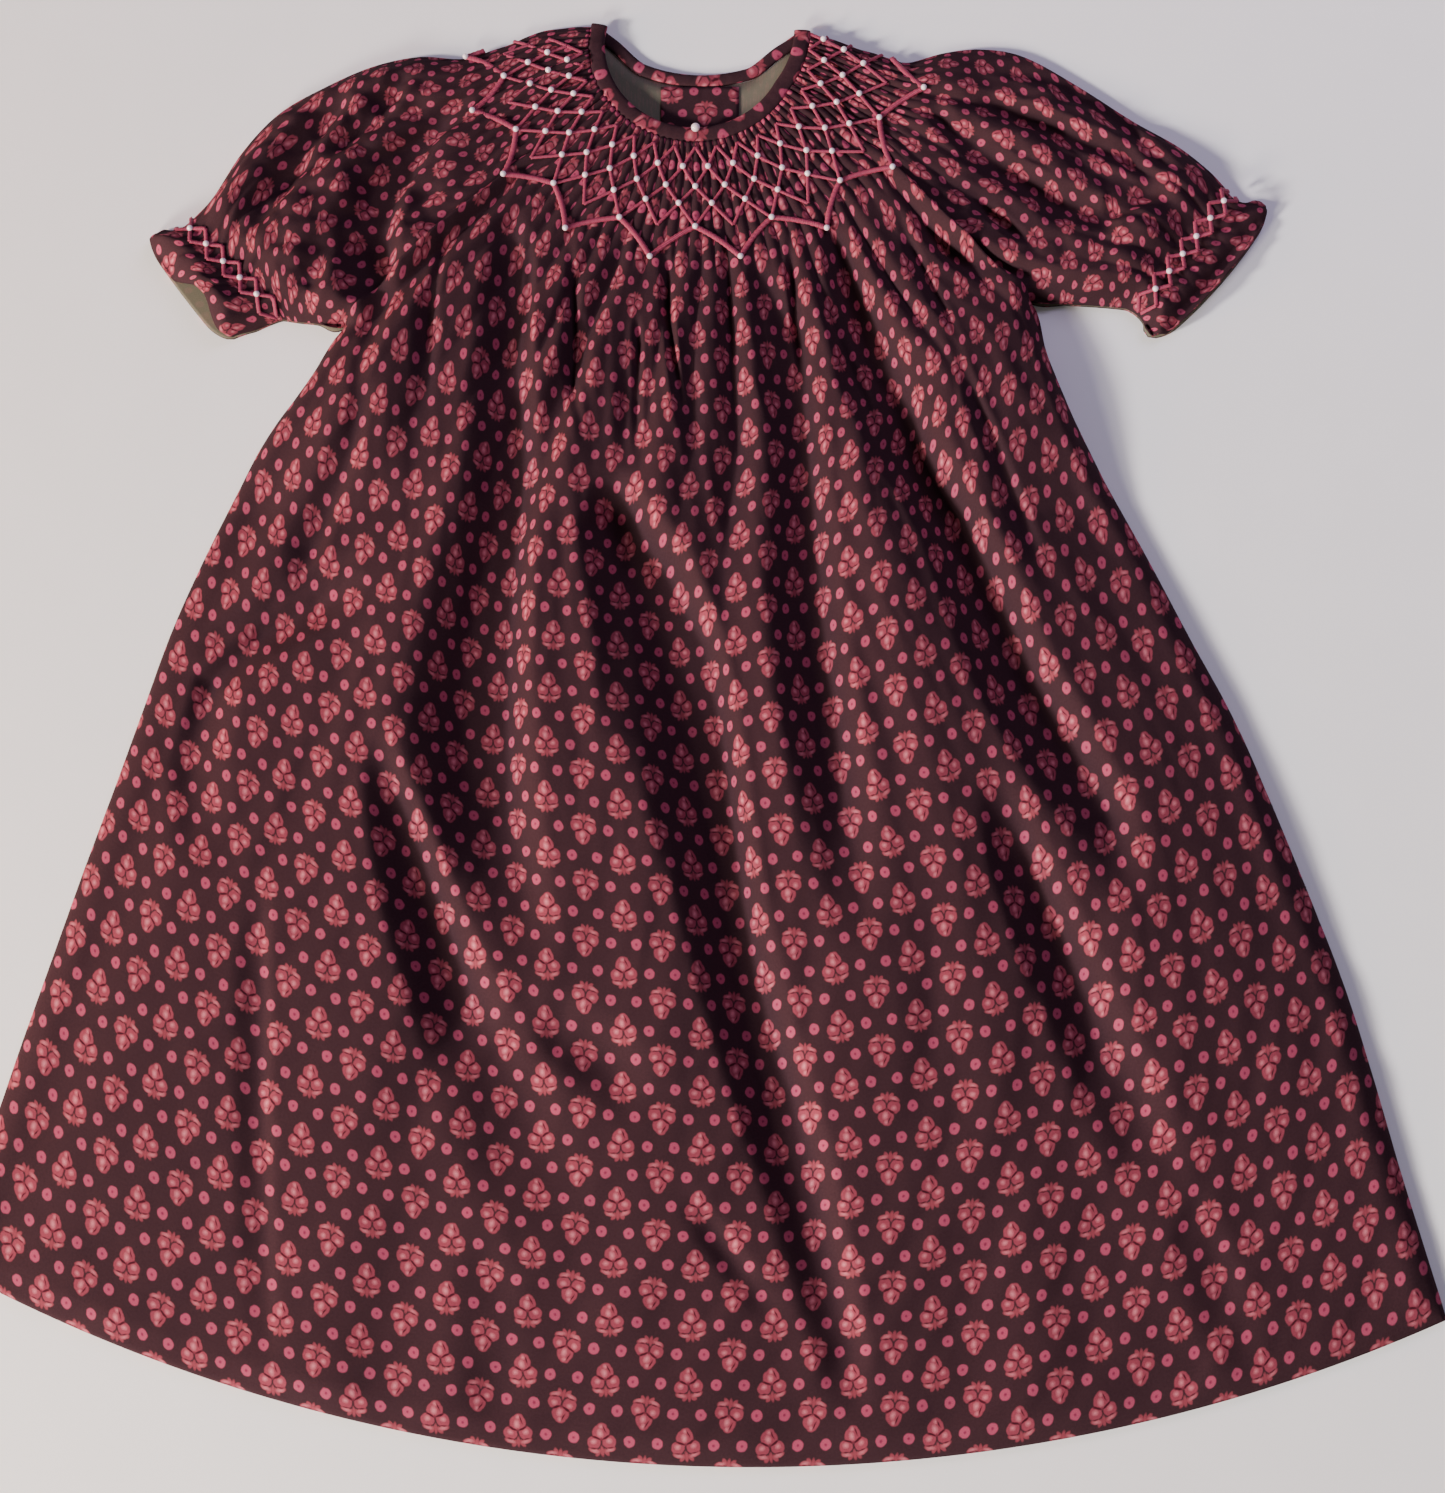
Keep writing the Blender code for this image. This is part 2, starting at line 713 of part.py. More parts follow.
def pearl(name, edge, colour):
    """One small bead on the front neck binding."""
    data = bmesh.new()
    radius = PEARL_DIAMETER / 2
    rim = float(upper_height(np.array([0.0]), np.array([NECK_Y - NECK_R]), 0.0, edge)[0])
    height = rim - 0.7 + BIND_HEIGHT / 2 + radius + LAYER_GAP
    bmesh.ops.create_uvsphere(data, u_segments=12, v_segments=8, radius=radius * MM)
    bmesh.ops.translate(data, verts=data.verts[:], vec=place_point((0.0, PEARL_Y, height)))
    bmesh.ops.triangulate(data, faces=data.faces[:])
    return finish(name, data, colour, 0.25)


def clear_scene():
    for item in list(bpy.data.objects):
        bpy.data.objects.remove(item, do_unlink=True)


def main():
    clear_scene()
    plum = (0.045, 0.022, 0.035)
    edge = outline()
    shell("dress_front", *front_walls(edge), plum)
    shell("dress_back", *back_walls(), plum)
    shell("sleeve_left", *sleeve_walls(SLEEVE_RIGHT_OF_PHOTO, 1, edge), plum)
    shell("sleeve_right", *sleeve_walls(SLEEVE_LEFT_OF_PHOTO, -1, edge), plum)
    front_path = front_binding_path(edge)
    band("neck_binding_front", ring_walls(front_path, BIND_WIDTH, BIND_HEIGHT, False), plum)
    back_path = back_binding_path()
    band("neck_binding_back", ring_walls(back_path, BACK_BIND_WIDTH, BIND_HEIGHT, True), plum)
    placket("back_placket", plum)
    pearl("neck_pearl", edge, (0.85, 0.83, 0.82))


main()
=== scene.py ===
"""Smocked dress laid flat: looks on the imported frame."""

import math

import bpy
import numpy as np
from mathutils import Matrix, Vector


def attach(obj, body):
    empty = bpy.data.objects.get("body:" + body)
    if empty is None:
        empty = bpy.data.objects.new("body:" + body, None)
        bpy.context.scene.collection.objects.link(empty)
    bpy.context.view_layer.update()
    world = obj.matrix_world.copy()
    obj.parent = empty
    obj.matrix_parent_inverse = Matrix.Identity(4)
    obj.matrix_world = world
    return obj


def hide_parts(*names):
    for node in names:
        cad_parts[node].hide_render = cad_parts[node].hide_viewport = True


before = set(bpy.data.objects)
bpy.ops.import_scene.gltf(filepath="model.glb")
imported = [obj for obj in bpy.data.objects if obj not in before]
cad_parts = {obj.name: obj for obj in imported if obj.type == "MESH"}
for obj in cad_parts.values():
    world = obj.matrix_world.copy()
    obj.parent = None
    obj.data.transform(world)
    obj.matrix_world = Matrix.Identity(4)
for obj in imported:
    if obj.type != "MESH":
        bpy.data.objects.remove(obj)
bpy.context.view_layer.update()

# Sizes are in millimetres and turned into metres when a mesh is made.
MM = 0.001

# Cloth walls and gaps, as in the solids.
WALL = 1.2
LAYER_GAP = 0.3
EDGE_TOP = 2 * WALL + LAYER_GAP
FOLD_HALF = 1.7
FOLD_RUN = 1.0
INNER_RUN = 1.6
SEAM_GAP = 0.12
# Radius of the ruffle's two corners, and how much finer the print is on the sleeves.
CORNER_R = 7.0
SLEEVE_PRINT = 1.22

# Neck ring and smocking.
NECK_Y = 345.0
SMOCK_R = 106.0
SMOCK_FADE = 14
FRONT_PLEATS = 34
SLEEVE_PLEATS = 12
PLEAT_RISE = 1.0
CUFF_RISE = 0.9
# The shells' pleats are narrower than the solids', so they rise a little more.
FINE_PLEAT = 1.25
# Threads and beads lie at this share of a pleat's rise.
THREAD_SEAT = 0.85
# The front rises from its outline over this width, and stays low along the sides.
EDGE_SLOPE = 14.0
EDGE_LIP = 0.7
SIDE_LEVEL = 4.5
SIDE_RISE = 0.13
SIDE_TOP_Y = (110.0, 205.0)
SIDE_TOP_LIFT = 20.0

# Neck bindings, placket and pearl.
BIND_WIDTH = 8.0
BACK_BIND_WIDTH = 6.0
BIND_HEIGHT = 3.0
PLACKET_X = (-17.0, 21.0)
PLACKET_Y = (329.0, 248.0)
PEARL_DIAMETER = 4.4
PEARL_Y = 304.0
# How deep the front band's middle lies below the cloth beside it, read at this place for
# the pearl, and how deep the pearl is pressed into the band.
BAND_SINK = 0.7
BELOW_BAND_Y = 295.0
PEARL_SINK = 0.3

# The middle of the outline, moved to the origin.
MIDDLE_X = -0.5
MIDDLE_Y = 20.5

# Camera: its aim on the surface, distance and angle.
AIM = (0.0135, -0.0205, 0.0)
CAMERA_DISTANCE = 1.242
CAMERA_TILT = math.radians(13.0)
SENSOR = 36.0
PHOTO_SIZE = (1445, 1493)
FOCAL_PX = 2700.0

# Fineness of the cloth meshes.
FRONT_ROWS = 280
FRONT_STEP = 8
BACK_ROWS = 80
SLEEVE_ROWS = 120
SLEEVE_STEP = 8

# Front and back sections from neck to hem: y at the centre, then the left and right ends.
SECTIONS = [
    # centre_y, left_x, left_y, right_x, right_y
    (297.5, -44.5, 322, 45.5, 325.5),
    (286, -52, 315, 54, 320),
    (277, -59, 310, 62, 315),
    (268, -66, 303, 69, 308),
    (259, -73, 297, 76, 302),
    (250, -80, 292, 83, 297),
    (241, -87, 287, 90, 292),
    (223, -99, 273, 103, 276),
    (200, -119, 254, 121, 254),
    (170, -142, 230, 140, 235),
    (138, -167, 204, 160, 217),
    (108, -184, 176, 168, 188),
    (76, -202, 148, 179, 158),
    (44, -216, 118, 193, 126),
    (10, -230, 86, 211, 90),
    (-26, -243, 52, 229, 52),
    (-64, -254, 16, 248, 13),
    (-104, -265, -20, 264, -28),
    (-144, -277, -58, 279, -70),
    (-184, -289, -98, 293, -112),
    (-224, -301, -138, 304, -154),
    (-258, -311, -173, 313, -192),
    (-288, -321, -203, 321, -223),
    (-309, -328, -223, 327, -246),
    (-320, -331, -233, 330, -258),
]

# The back has two more sections above the front neckline.
BACK_TOP = [
    # centre_y, left_x, left_y, right_x, right_y
    (329, -51.8, 352, 54.5, 349),
    (314, -51.2, 340, 52.6, 339),
]

# Sleeve sections from the neck to the ruffle: raglan or underarm edge, top fold, outward bow.
SLEEVE_RIGHT_OF_PHOTO = [
    # bottom_x, bottom_y, top_x, top_y, bow
    (45.5, 325.5, 56, 357, 2.5),
    (54, 320, 65, 355, 2.8),
    (62, 315, 73, 352, 3.0),
    (69, 308, 80, 349, 3.5),
    (76, 302, 87, 347, 4.0),
    (83, 297, 95, 344, 4.5),
    (90, 292, 104, 342, 5.0),
    (103, 276, 121, 347, 6.0),
    (121, 254, 140, 349, 10.0),
    (140, 235, 160, 345, 12.0),
    (160, 217, 185, 330, 10.0),
    (178, 216, 212, 311, 8.0),
    (193, 215, 233, 298, 6.0),
    (203, 214, 247, 286, 4.0),
    (207, 213, 254, 278, 3.0),
    (211, 210, 259, 271, 3.0),
    (214, 206, 265, 268, 3.0),
    (217, 201, 272, 267, 3.5),
    (220, 196, 278, 264, 4.0),
]
SLEEVE_LEFT_OF_PHOTO = [
    # bottom_x, bottom_y, top_x, top_y, bow
    (-44.5, 322, -51, 361, 4.0),
    (-52, 315, -59, 361, 4.5),
    (-59, 310, -66, 360, 5.0),
    (-66, 303, -74, 359, 5.2),
    (-73, 297, -82, 356, 5.5),
    (-80, 292, -90, 352, 5.8),
    (-87, 287, -98, 349, 6.0),
    (-99, 273, -114, 344, 7.0),
    (-119, 254, -135, 345, 9.0),
    (-142, 230, -157, 340, 11.0),
    (-167, 204, -180, 329, 11.0),
    (-180, 206, -202, 315, 8.0),
    (-189, 207, -219, 295, 6.0),
    (-195, 208, -232, 272, 4.0),
    (-197, 208, -239, 263, 3.0),
    (-200, 207, -246, 256, 2.0),
    (-205, 205, -252, 254, 1.5),
    (-214, 201, -259, 253, 1.0),
    (-225, 196, -265, 249, 1.0),
]
# The row at which the sleeve's underarm leaves the side seam.
UNDERARM_ROW = 10

# Height of the upper cloth above its resting edge, by distance from the neck centre.
PLATEAU = [
    # distance, height
    (40, 3.6),
    (104, 4.6),
    (128, 8.0),
    (165, 12.5),
    (220, 16.0),
    (345, 18.0),
    (445, 15.0),
    (545, 10.0),
    (625, 5.0),
    (670, 3.0),
]

# Troughs between the folds: name, then rows of x, y, depth, left half width, right half width.
TROUGHS = {
    "left_main": [
        (-88, 262, 0, 9, 7),
        (-86, 234, 10, 16, 9),
        (-85, 190, 13, 22, 11),
        (-85, 142, 15, 28, 14),
        (-88, 100, 16, 32, 16),
        (-90, 60, 17, 42, 19),
        (-91, 20, 17, 50, 21),
        (-88, -20, 15, 44, 21),
        (-81, -60, 10, 32, 19),
        (-74, -104, 0, 24, 18),
    ],
    "left_lower": [
        (-146, 4, 0, 10, 9),
        (-134, -32, 9, 17, 13),
        (-121, -74, 13, 22, 17),
        (-105, -114, 12, 26, 19),
        (-88, -146, 7, 34, 24),
        (-70, -182, 4, 40, 26),
        (-56, -222, 0, 34, 22),
    ],
    "left_branch": [
        (-84, -124, 0, 16, 14),
        (-60, -132, 4, 20, 20),
        (-38, -146, 4, 20, 20),
        (-16, -174, 0, 16, 18),
    ],
    "middle": [
        (-42, 126, 0, 8, 12),
        (-34, 106, 14, 24, 16),
        (-18, 80, 16, 40, 20),
        (-2, 46, 17, 50, 18),
        (6, 10, 17, 48, 17),
        (10, -30, 16, 36, 17),
        (16, -70, 15, 28, 18),
        (24, -110, 15, 25, 18),
        (34, -148, 14, 24, 18),
        (46, -188, 12, 22, 17),
        (56, -228, 8, 20, 15),
        (66, -268, 5, 17, 13),
        (70, -300, 0, 13, 11),
    ],
    "middle_branch": [
        (-6, -200, 0, 10, 8),
        (14, -228, 3, 10, 8),
        (42, -264, 0, 10, 8),
    ],
    "right_of_middle": [
        (28, 240, 0, 8, 7),
        (43, 200, 9, 18, 11),
        (49, 156, 12, 22, 14),
        (51, 112, 14, 24, 16),
        (54, 68, 15, 26, 17),
        (59, 24, 14, 27, 18),
        (65, -16, 11, 26, 18),
        (72, -56, 6, 24, 17),
        (78, -96, 0, 20, 15),
    ],
    "right_main": [
        (66, 260, 0, 9, 7),
        (74, 222, 10, 16, 11),
        (86, 182, 13, 24, 14),
        (102, 142, 14, 22, 15),
        (122, 104, 16, 20, 15),
        (137, 66, 17, 26, 17),
        (152, 28, 16, 28, 17),
        (170, -4, 14, 27, 17),
        (187, -36, 10, 24, 16),
        (196, -80, 0, 18, 14),
    ],
    "right_short": [
        (58, 220, 0, 6, 6),
        (74, 176, 5, 12, 8),
        (88, 130, 4, 16, 9),
        (96, 96, 0, 12, 9),
    ],
    "right_lower": [
        (136, -16, 0, 12, 9),
        (149, -54, 10, 20, 14),
        (162, -90, 12, 22, 16),
        (178, -128, 8, 24, 18),
        (196, -168, 5, 26, 18),
        (212, -208, 0, 22, 16),
    ],
    "left_side": [
        (-152, 78, 0, 7, 12),
        (-174, 66, 8, 8, 18),
        (-200, 50, 9, 9, 18),
        (-222, 28, 7, 10, 18),
        (-228, -10, 5, 14, 20),
        (-224, -60, 0, 14, 22),
    ],
    "left_seam_line": [
        (-194, -60, 0, 8, 5),
        (-194, -99, 3, 13, 7),
        (-192, -162, 3, 14, 7),
        (-188, -228, 2, 14, 7),
        (-184, -284, 0, 12, 6),
    ],
    "centre_gather_a": [
        (-58, 230, 0, 5, 5),
        (-56, 190, 4, 8, 7),
        (-48, 144, 0, 7, 6),
    ],
    "centre_gather_b": [
        (-31, 205, 0, 5, 5),
        (-32, 165, 4, 7, 6),
        (-33, 130, 0, 6, 6),
    ],
    "centre_gather_c": [
        (-6, 215, 0, 5, 5),
        (-3, 175, 3, 6, 6),
        (2, 132, 0, 6, 6),
    ],
    "left_gather_a": [
        (-127, 228, 0, 6, 6),
        (-126, 194, 5, 8, 7),
        (-128, 155, 0, 7, 7),
    ],
    "left_gather_b": [
        (-146, 222, 0, 6, 6),
        (-151, 196, 4, 8, 7),
        (-160, 165, 0, 7, 7),
    ],
    "left_sleeve_upper": [
        (-166, 326, 0, 7, 6),
        (-175, 310, 9, 14, 8),
        (-190, 290, 11, 16, 9),
        (-198, 270, 9, 14, 9),
        (-212, 250, 3, 10, 8),
    ],
    "left_sleeve_main": [
        (-108, 320, 0, 7, 7),
        (-122, 308, 8, 10, 9),
        (-136, 292, 12, 14, 10),
        (-147, 274, 14, 20, 11),
        (-151, 254, 15, 26, 12),
        (-151, 236, 14, 26, 12),
        (-152, 220, 10, 22, 12),
        (-158, 206, 4, 16, 12),
    ],
    "left_sleeve_short": [
        (-140, 332, 0, 6, 5),
        (-146, 320, 8, 10, 7),
        (-164, 302, 5, 10, 7),
        (-178, 282, 0, 8, 7),
    ],
    "left_sleeve_low": [
        (-172, 246, 0, 8, 7),
        (-180, 228, 6, 14, 9),
        (-186, 214, 7, 16, 9),
        (-192, 204, 3, 12, 9),
    ],
    "right_sleeve_yoke": [
        (112, 322, 0, 7, 7),
        (122, 304, 5, 9, 7),
        (136, 294, 7, 11, 8),
        (150, 284, 8, 12, 8),
        (176, 266, 11, 14, 9),
        (196, 257, 10, 13, 9),
        (212, 266, 6, 10, 8),
        (224, 276, 0, 8, 7),
    ],
    "right_sleeve_low": [
        (104, 256, 0, 7, 7),
        (124, 240, 7, 12, 8),
        (150, 229, 8, 14, 9),
        (172, 222, 4, 11, 9),
        (186, 216, 0, 8, 8),
    ],
    "right_sleeve_top": [
        (142, 340, 0, 7, 7),
        (172, 332, 5, 10, 7),
        (198, 318, 7, 12, 8),
        (216, 296, 5, 12, 8),
        (228, 278, 0, 8, 7),
    ],
    "right_sleeve_long": [
        (130, 322, 0, 6, 6),
        (148, 317, 6, 8, 6),
        (168, 308, 8, 10, 7),
        (186, 299, 9, 11, 7),
        (206, 290, 9, 12, 8),
        (218, 276, 4, 9, 7),
        (226, 262, 0, 7, 7),
    ],
    "right_sleeve_under": [
        (132, 266, 0, 6, 5),
        (140, 260, 5, 6, 5),
        (150, 251, 5, 6, 5),
        (160, 243, 0, 6, 5),
    ],
    "cuff_right_of_photo": [
        (210, 211, 6, 22, 22),
        (235, 243, 8, 22, 22),
        (258, 272, 6, 22, 22),
    ],
    "cuff_left_of_photo": [
        (-200, 208, 6, 22, 22),
        (-223, 234, 8, 22, 22),
        (-246, 257, 6, 22, 22),
    ],
}

# Gathers that follow the columns: distance below the neck centre, fine and coarse height.
GATHERS = [
    # distance, fine, coarse
    (45, 0.0, 0.0),
    (102, 0.2, 0.3),
    (118, 1.6, 0.8),
    (140, 2.3, 1.6),
    (175, 1.9, 2.4),
    (210, 1.1, 2.8),
    (270, 0.4, 2.2),
    (335, 0.0, 1.6),
    (450, 0.0, 1.0),
    (560, 0.0, 0.8),
    (640, 0.0, 0.9),
    (670, 0.0, 0.6),
]
FINE_SPAN = 2.0
COARSE_SPAN = 4.3


def column(table, key, place):
    """Reads one column of a table at a place, between its rows."""
    keys = [row[0] for row in table]
    values = [row[key] for row in table]
    return np.interp(place, keys, values)


def outline():
    """The outer edge in plan, from one neck peak round the hem to the other."""
    left = [(row[2], row[3]) for row in SLEEVE_LEFT_OF_PHOTO]
    cuff_left = [(row[0], row[1]) for row in reversed(SLEEVE_LEFT_OF_PHOTO[UNDERARM_ROW:])]
    side_left = [(row[1], row[2]) for row in SECTIONS[UNDERARM_ROW:]]
    hem = [tuple(point) for point in arc_row(SECTIONS[-1], np.linspace(-1, 1, 25))[1:-1]]
    side_right = [(row[3], row[4]) for row in reversed(SECTIONS[UNDERARM_ROW:])]
    cuff_right = [(row[0], row[1]) for row in SLEEVE_RIGHT_OF_PHOTO[UNDERARM_ROW:]]
    right = [(row[2], row[3]) for row in reversed(SLEEVE_RIGHT_OF_PHOTO)]
    return np.array(left + cuff_left + side_left + hem + side_right + cuff_right + right, float)


def segment_distance(x, y, a, b):
    """Distance to one segment, the share along it and the side on which the point lies."""
    dx, dy = b[0] - a[0], b[1] - a[1]
    length_2 = dx * dx + dy * dy + 1e-9
    share = np.clip(((x - a[0]) * dx + (y - a[1]) * dy) / length_2, 0, 1)
    off_x = x - a[0] - share * dx
    off_y = y - a[1] - share * dy
    side = dx * off_y - dy * off_x
    return np.hypot(off_x, off_y), share, side


def edge_distance(x, y, edge):
    """Distance to the nearest part of the outline."""
    best = np.full(np.shape(x), 1e6)
    for a, b in zip(edge[:-1], edge[1:]):
        best = np.minimum(best, segment_distance(x, y, a, b)[0])
    return best


def trough(x, y, rows):
    """Depth of one trough, from the nearest place on its line."""
    best = np.full(np.shape(x), 1e6)
    depth = np.zeros(np.shape(x))
    for a, b in zip(rows[:-1], rows[1:]):
        distance, share, side = segment_distance(x, y, a, b)
        deep = a[2] + (b[2] - a[2]) * share
        wide_left = a[3] + (b[3] - a[3]) * share
        wide_right = a[4] + (b[4] - a[4]) * share
        heading_down = b[1] < a[1]
        on_right = side > 0 if heading_down else side < 0
        wide = np.where(on_right, wide_right, wide_left)
        near = distance < best
        best = np.where(near, distance, best)
        reach = np.clip(distance / wide, 0, 1)
        depth = np.where(near, deep * np.cos(reach * math.pi / 2) ** 2, depth)
    return depth


def soft_floor(height, bend=1.2):
    """Keeps a height above zero with a rounded turn."""
    return 0.5 * (height + np.sqrt(height * height + bend * bend)) - bend * 0.25


def upper_height(x, y, gather, edge):
    """Height of the upper cloth, without its pleats."""
    away = edge_distance(x, y, edge)
    reach = np.clip(away / EDGE_SLOPE, 0, 1)
    rise = np.sin(reach * math.pi / 2)
    level = column(PLATEAU, 1, np.hypot(x, y - NECK_Y))
    side = SIDE_LEVEL + SIDE_RISE * away + np.interp(y, SIDE_TOP_Y, (0.0, SIDE_TOP_LIFT))
    level = 0.5 * (level + side - np.sqrt((level - side) ** 2 + 4.0))
    for rows in TROUGHS.values():
        level = level - trough(x, y, rows)
    lift = soft_floor(level + gather)
    lip = EDGE_LIP * np.clip(away, 0, 1)
    return EDGE_TOP + lip + rise * lift


def pleat_rise(distance):
    """Height of the smocked pleats by distance from the neck centre."""
    return PLEAT_RISE * np.clip((SMOCK_R + SMOCK_FADE - distance) / SMOCK_FADE, 0, 1)


def arc_row(row, shares):
    """Points of a section on the circle through its two ends and its centre."""
    centre_y, left_x, left_y, right_x, right_y = row[:5]
    middle_x = 0.0
    ax, ay = left_x - middle_x, left_y - centre_y
    bx, by = right_x - middle_x, right_y - centre_y
    twist = 2 * (ax * by - ay * bx)
    across = (by * (ax * ax + ay * ay) - ay * (bx * bx + by * by)) / twist
    along = (ax * (bx * bx + by * by) - bx * (ax * ax + ay * ay)) / twist
    radius = math.hypot(across, along)
    cx, cy = middle_x + across, centre_y + along
    start = math.atan2(left_x - cx, cy - left_y)
    stop = math.atan2(right_x - cx, cy - right_y)
    angle = start + (np.asarray(shares) + 1) / 2 * (stop - start)
    return np.stack([cx + radius * np.sin(angle), cy - radius * np.cos(angle)], axis=-1)


def bowed(bottom, top, bow, shares, sign):
    """Points from the top fold to the bottom edge of a sleeve section, bowed outward."""
    bottom = np.array(bottom, float)
    top = np.array(top, float)
    line = top + (bottom - top) * shares[:, None]
    chord = (bottom - top) / np.linalg.norm(bottom - top)
    out = np.array([-chord[1], chord[0]]) * sign
    return line + out * (bow * 4 * shares * (1 - shares))[:, None]


def neck_edge(count):
    """The neck edge in plan: right sleeve, front, left sleeve, at even steps."""
    shares = np.linspace(0, 1, 13)
    low, high = SLEEVE_LEFT_OF_PHOTO[0], SLEEVE_RIGHT_OF_PHOTO[0]
    start = bowed(low[0:2], low[2:4], low[4], shares, -1)
    centre = arc_row(SECTIONS[0], np.linspace(-1, 1, 31))[1:-1]
    stop = bowed(high[0:2], high[2:4], high[4], shares, 1)[::-1]
    points = np.concatenate([start, centre, stop])
    steps = np.append(0, np.cumsum(np.linalg.norm(np.diff(points, axis=0), axis=1)))
    even = np.linspace(0, steps[-1], count)
    x, y = np.interp(even, steps, points[:, 0]), np.interp(even, steps, points[:, 1])
    return np.stack([x, y], axis=-1)


def outward(points):
    """Unit normals of a plan line, to the right of its heading."""
    along = np.gradient(points, axis=0)
    along /= np.linalg.norm(along, axis=1)[:, None]
    return np.stack([along[:, 1], -along[:, 0]], axis=-1)


def clamp01(value):
    return np.clip(value, 0.0, 1.0)


def smooth_step(value):
    value = clamp01(value)
    return value * value * (3 - 2 * value)


def ramp(value, start, run):
    """Zero up to a start and one after a run, with a smooth rise between."""
    return smooth_step((value - start) / run)


def smooth_rows(table, places):
    """Rows of a table at fractional row places, through a Catmull-Rom curve."""
    data = np.array(table, float)
    count = len(data)
    base = np.clip(np.floor(places).astype(int), 0, count - 2)
    share = (places - base)[:, None]
    p0 = data[np.maximum(base - 1, 0)]
    p1 = data[base]
    p2 = data[base + 1]
    p3 = data[np.minimum(base + 2, count - 1)]
    cubic = (2 * p1) + (p2 - p0) * share + (2 * p0 - 5 * p1 + 4 * p2 - p3) * share**2
    return 0.5 * (cubic + (3 * p1 - p0 - 3 * p2 + p3) * share**3)


def even_places(steps, count):
    """Fractional row places that are evenly spaced along the cloth."""
    along = np.append(0, np.cumsum(steps))
    return np.interp(np.linspace(0, along[-1], count), along, np.arange(len(along)))


def section_rows(table, count):
    """Sections at even steps down the centre line."""
    depths = [abs(b[0] - a[0]) for a, b in zip(table[:-1], table[1:])]
    return smooth_rows(table, even_places(depths, count))


def value_noise(x, y, seed):
    """Smooth noise between -1 and 1 on a unit lattice."""
    xi, yi = np.floor(x), np.floor(y)
    fx, fy = smooth_step(x - xi), smooth_step(y - yi)

    def corner(i, k):
        mixed = np.sin(i * 127.1 + k * 311.7 + seed * 74.7) * 43758.5453
        return (mixed - np.floor(mixed)) * 2 - 1

    low = corner(xi, yi) * (1 - fx) + corner(xi + 1, yi) * fx
    high = corner(xi, yi + 1) * (1 - fx) + corner(xi + 1, yi + 1) * fx
    return low * (1 - fy) + high * fy


# Small wrinkles along the grain: width and length in mm, height in mm.
WRINKLES = [
    # width, length, height
    (26.0, 110.0, 1.0),
    (11.0, 60.0, 0.55),
    (5.0, 26.0, 0.18),
]


def wrinkles(across, along, seed):
    """Small uneven wrinkles, longer along the grain than across it."""
    total = 0.0
    for number, (width, length, height) in enumerate(WRINKLES):
        drift = across + 0.25 * along * np.sin(along / 190.0 + seed)
        total = total + height * value_noise(drift / width, along / length, seed + number)
    return total


def soft_dents(x, y):
    """Faint uneven dents of a laid skirt, longer down the cloth than across it."""
    long = value_noise((x + 0.25 * y) / 15.0, (y - 0.2 * x) / 27.0, 5)
    short = value_noise((x - 0.3 * y) / 8.0, (y + 0.2 * x) / 12.0, 8)
    return long + 0.55 * short


def crumples(x, y, seed):
    """Small soft dents with no one direction, as on a puffed sleeve."""
    large = value_noise(x / 19.0, y / 15.0, seed + 11)
    small = value_noise((x + 0.4 * y) / 8.5, (y - 0.3 * x) / 7.0, seed + 17)
    return 1.5 * large - 1.3 * np.maximum(small, 0)


def sharp_gathers(place, distance):
    """Gathers along the columns, with round ridges and narrow valleys."""
    uneven = 0.95 + 0.45 * np.sin(place * 0.71 + 1.3) + 0.3 * np.sin(place * 1.37)
    phase = math.pi * place / FINE_SPAN + 0.2
    fine = column(GATHERS, 1, distance) * (1.6 * np.abs(np.cos(phase)) - 0.9)
    wander = place + 0.6 * np.sin(place * 0.53)
    coarse = column(GATHERS, 2, distance) * np.cos(2 * math.pi * wander / COARSE_SPAN + 1.0)
    return uneven * (fine + coarse)


def pleats(place):
    """Round pleats with narrow valleys, one for each whole place."""
    return np.abs(np.sin(math.pi * place)) ** 0.8


# Width of the cloth that the columns stand for, by distance from the neck centre.
CLOTH_WIDTH = [
    # distance, width
    (47, 408),
    (106, 425),
    (150, 480),
    (207, 560),
    (269, 585),
    (345, 610),
    (445, 635),
    (545, 660),
    (665, 700),
]


def smooth_down(values):
    """Averages each column over a few neighbouring rows, so the print keeps its grain."""
    reach = FRONT_ROWS // 14
    for _ in range(2):
        padded = np.concatenate([values[:1]] * (reach + 1) + [values] + [values[-1:]] * reach)
        total = np.cumsum(padded, axis=0)
        values = (total[2 * reach + 1:] - total[:-2 * reach - 1]) / (2 * reach + 1)
    return values


def row_lengths(points):
    """Length along each row of points, from its first point."""
    steps = np.linalg.norm(np.diff(points, axis=1), axis=2)
    return np.concatenate([np.zeros((len(points), 1)), np.cumsum(steps, axis=1)], axis=1)


def print_across(points, width, pleated, place):
    """Distance across the print, by the length along each row."""
    along = row_lengths(points)
    share = smooth_down(along / along[:, -1:])
    full = width[:, None] * (share - 0.5)
    count = place.max()
    pleat = np.minimum(np.floor(place), count - 1)
    within = (place - pleat - 0.5)[None, :]
    pitch = (along[:, -1] / count / 1.12)[:, None]
    hidden = 0.5 * np.sign(within) * np.abs(2 * within) ** 7
    shown = within * pitch + hidden * (width[:, None] / count - pitch)
    tucked = width[:, None] * ((pleat + 0.5) / count - 0.5)[None, :] + shown
    return full * (1 - pleated[:, None]) + tucked * pleated[:, None]


def print_along(points):
    """Distance along the print, the same for a whole row."""
    steps = np.linalg.norm(np.diff(points, axis=0), axis=2)
    return np.append(0, np.cumsum(np.median(steps, axis=1)))


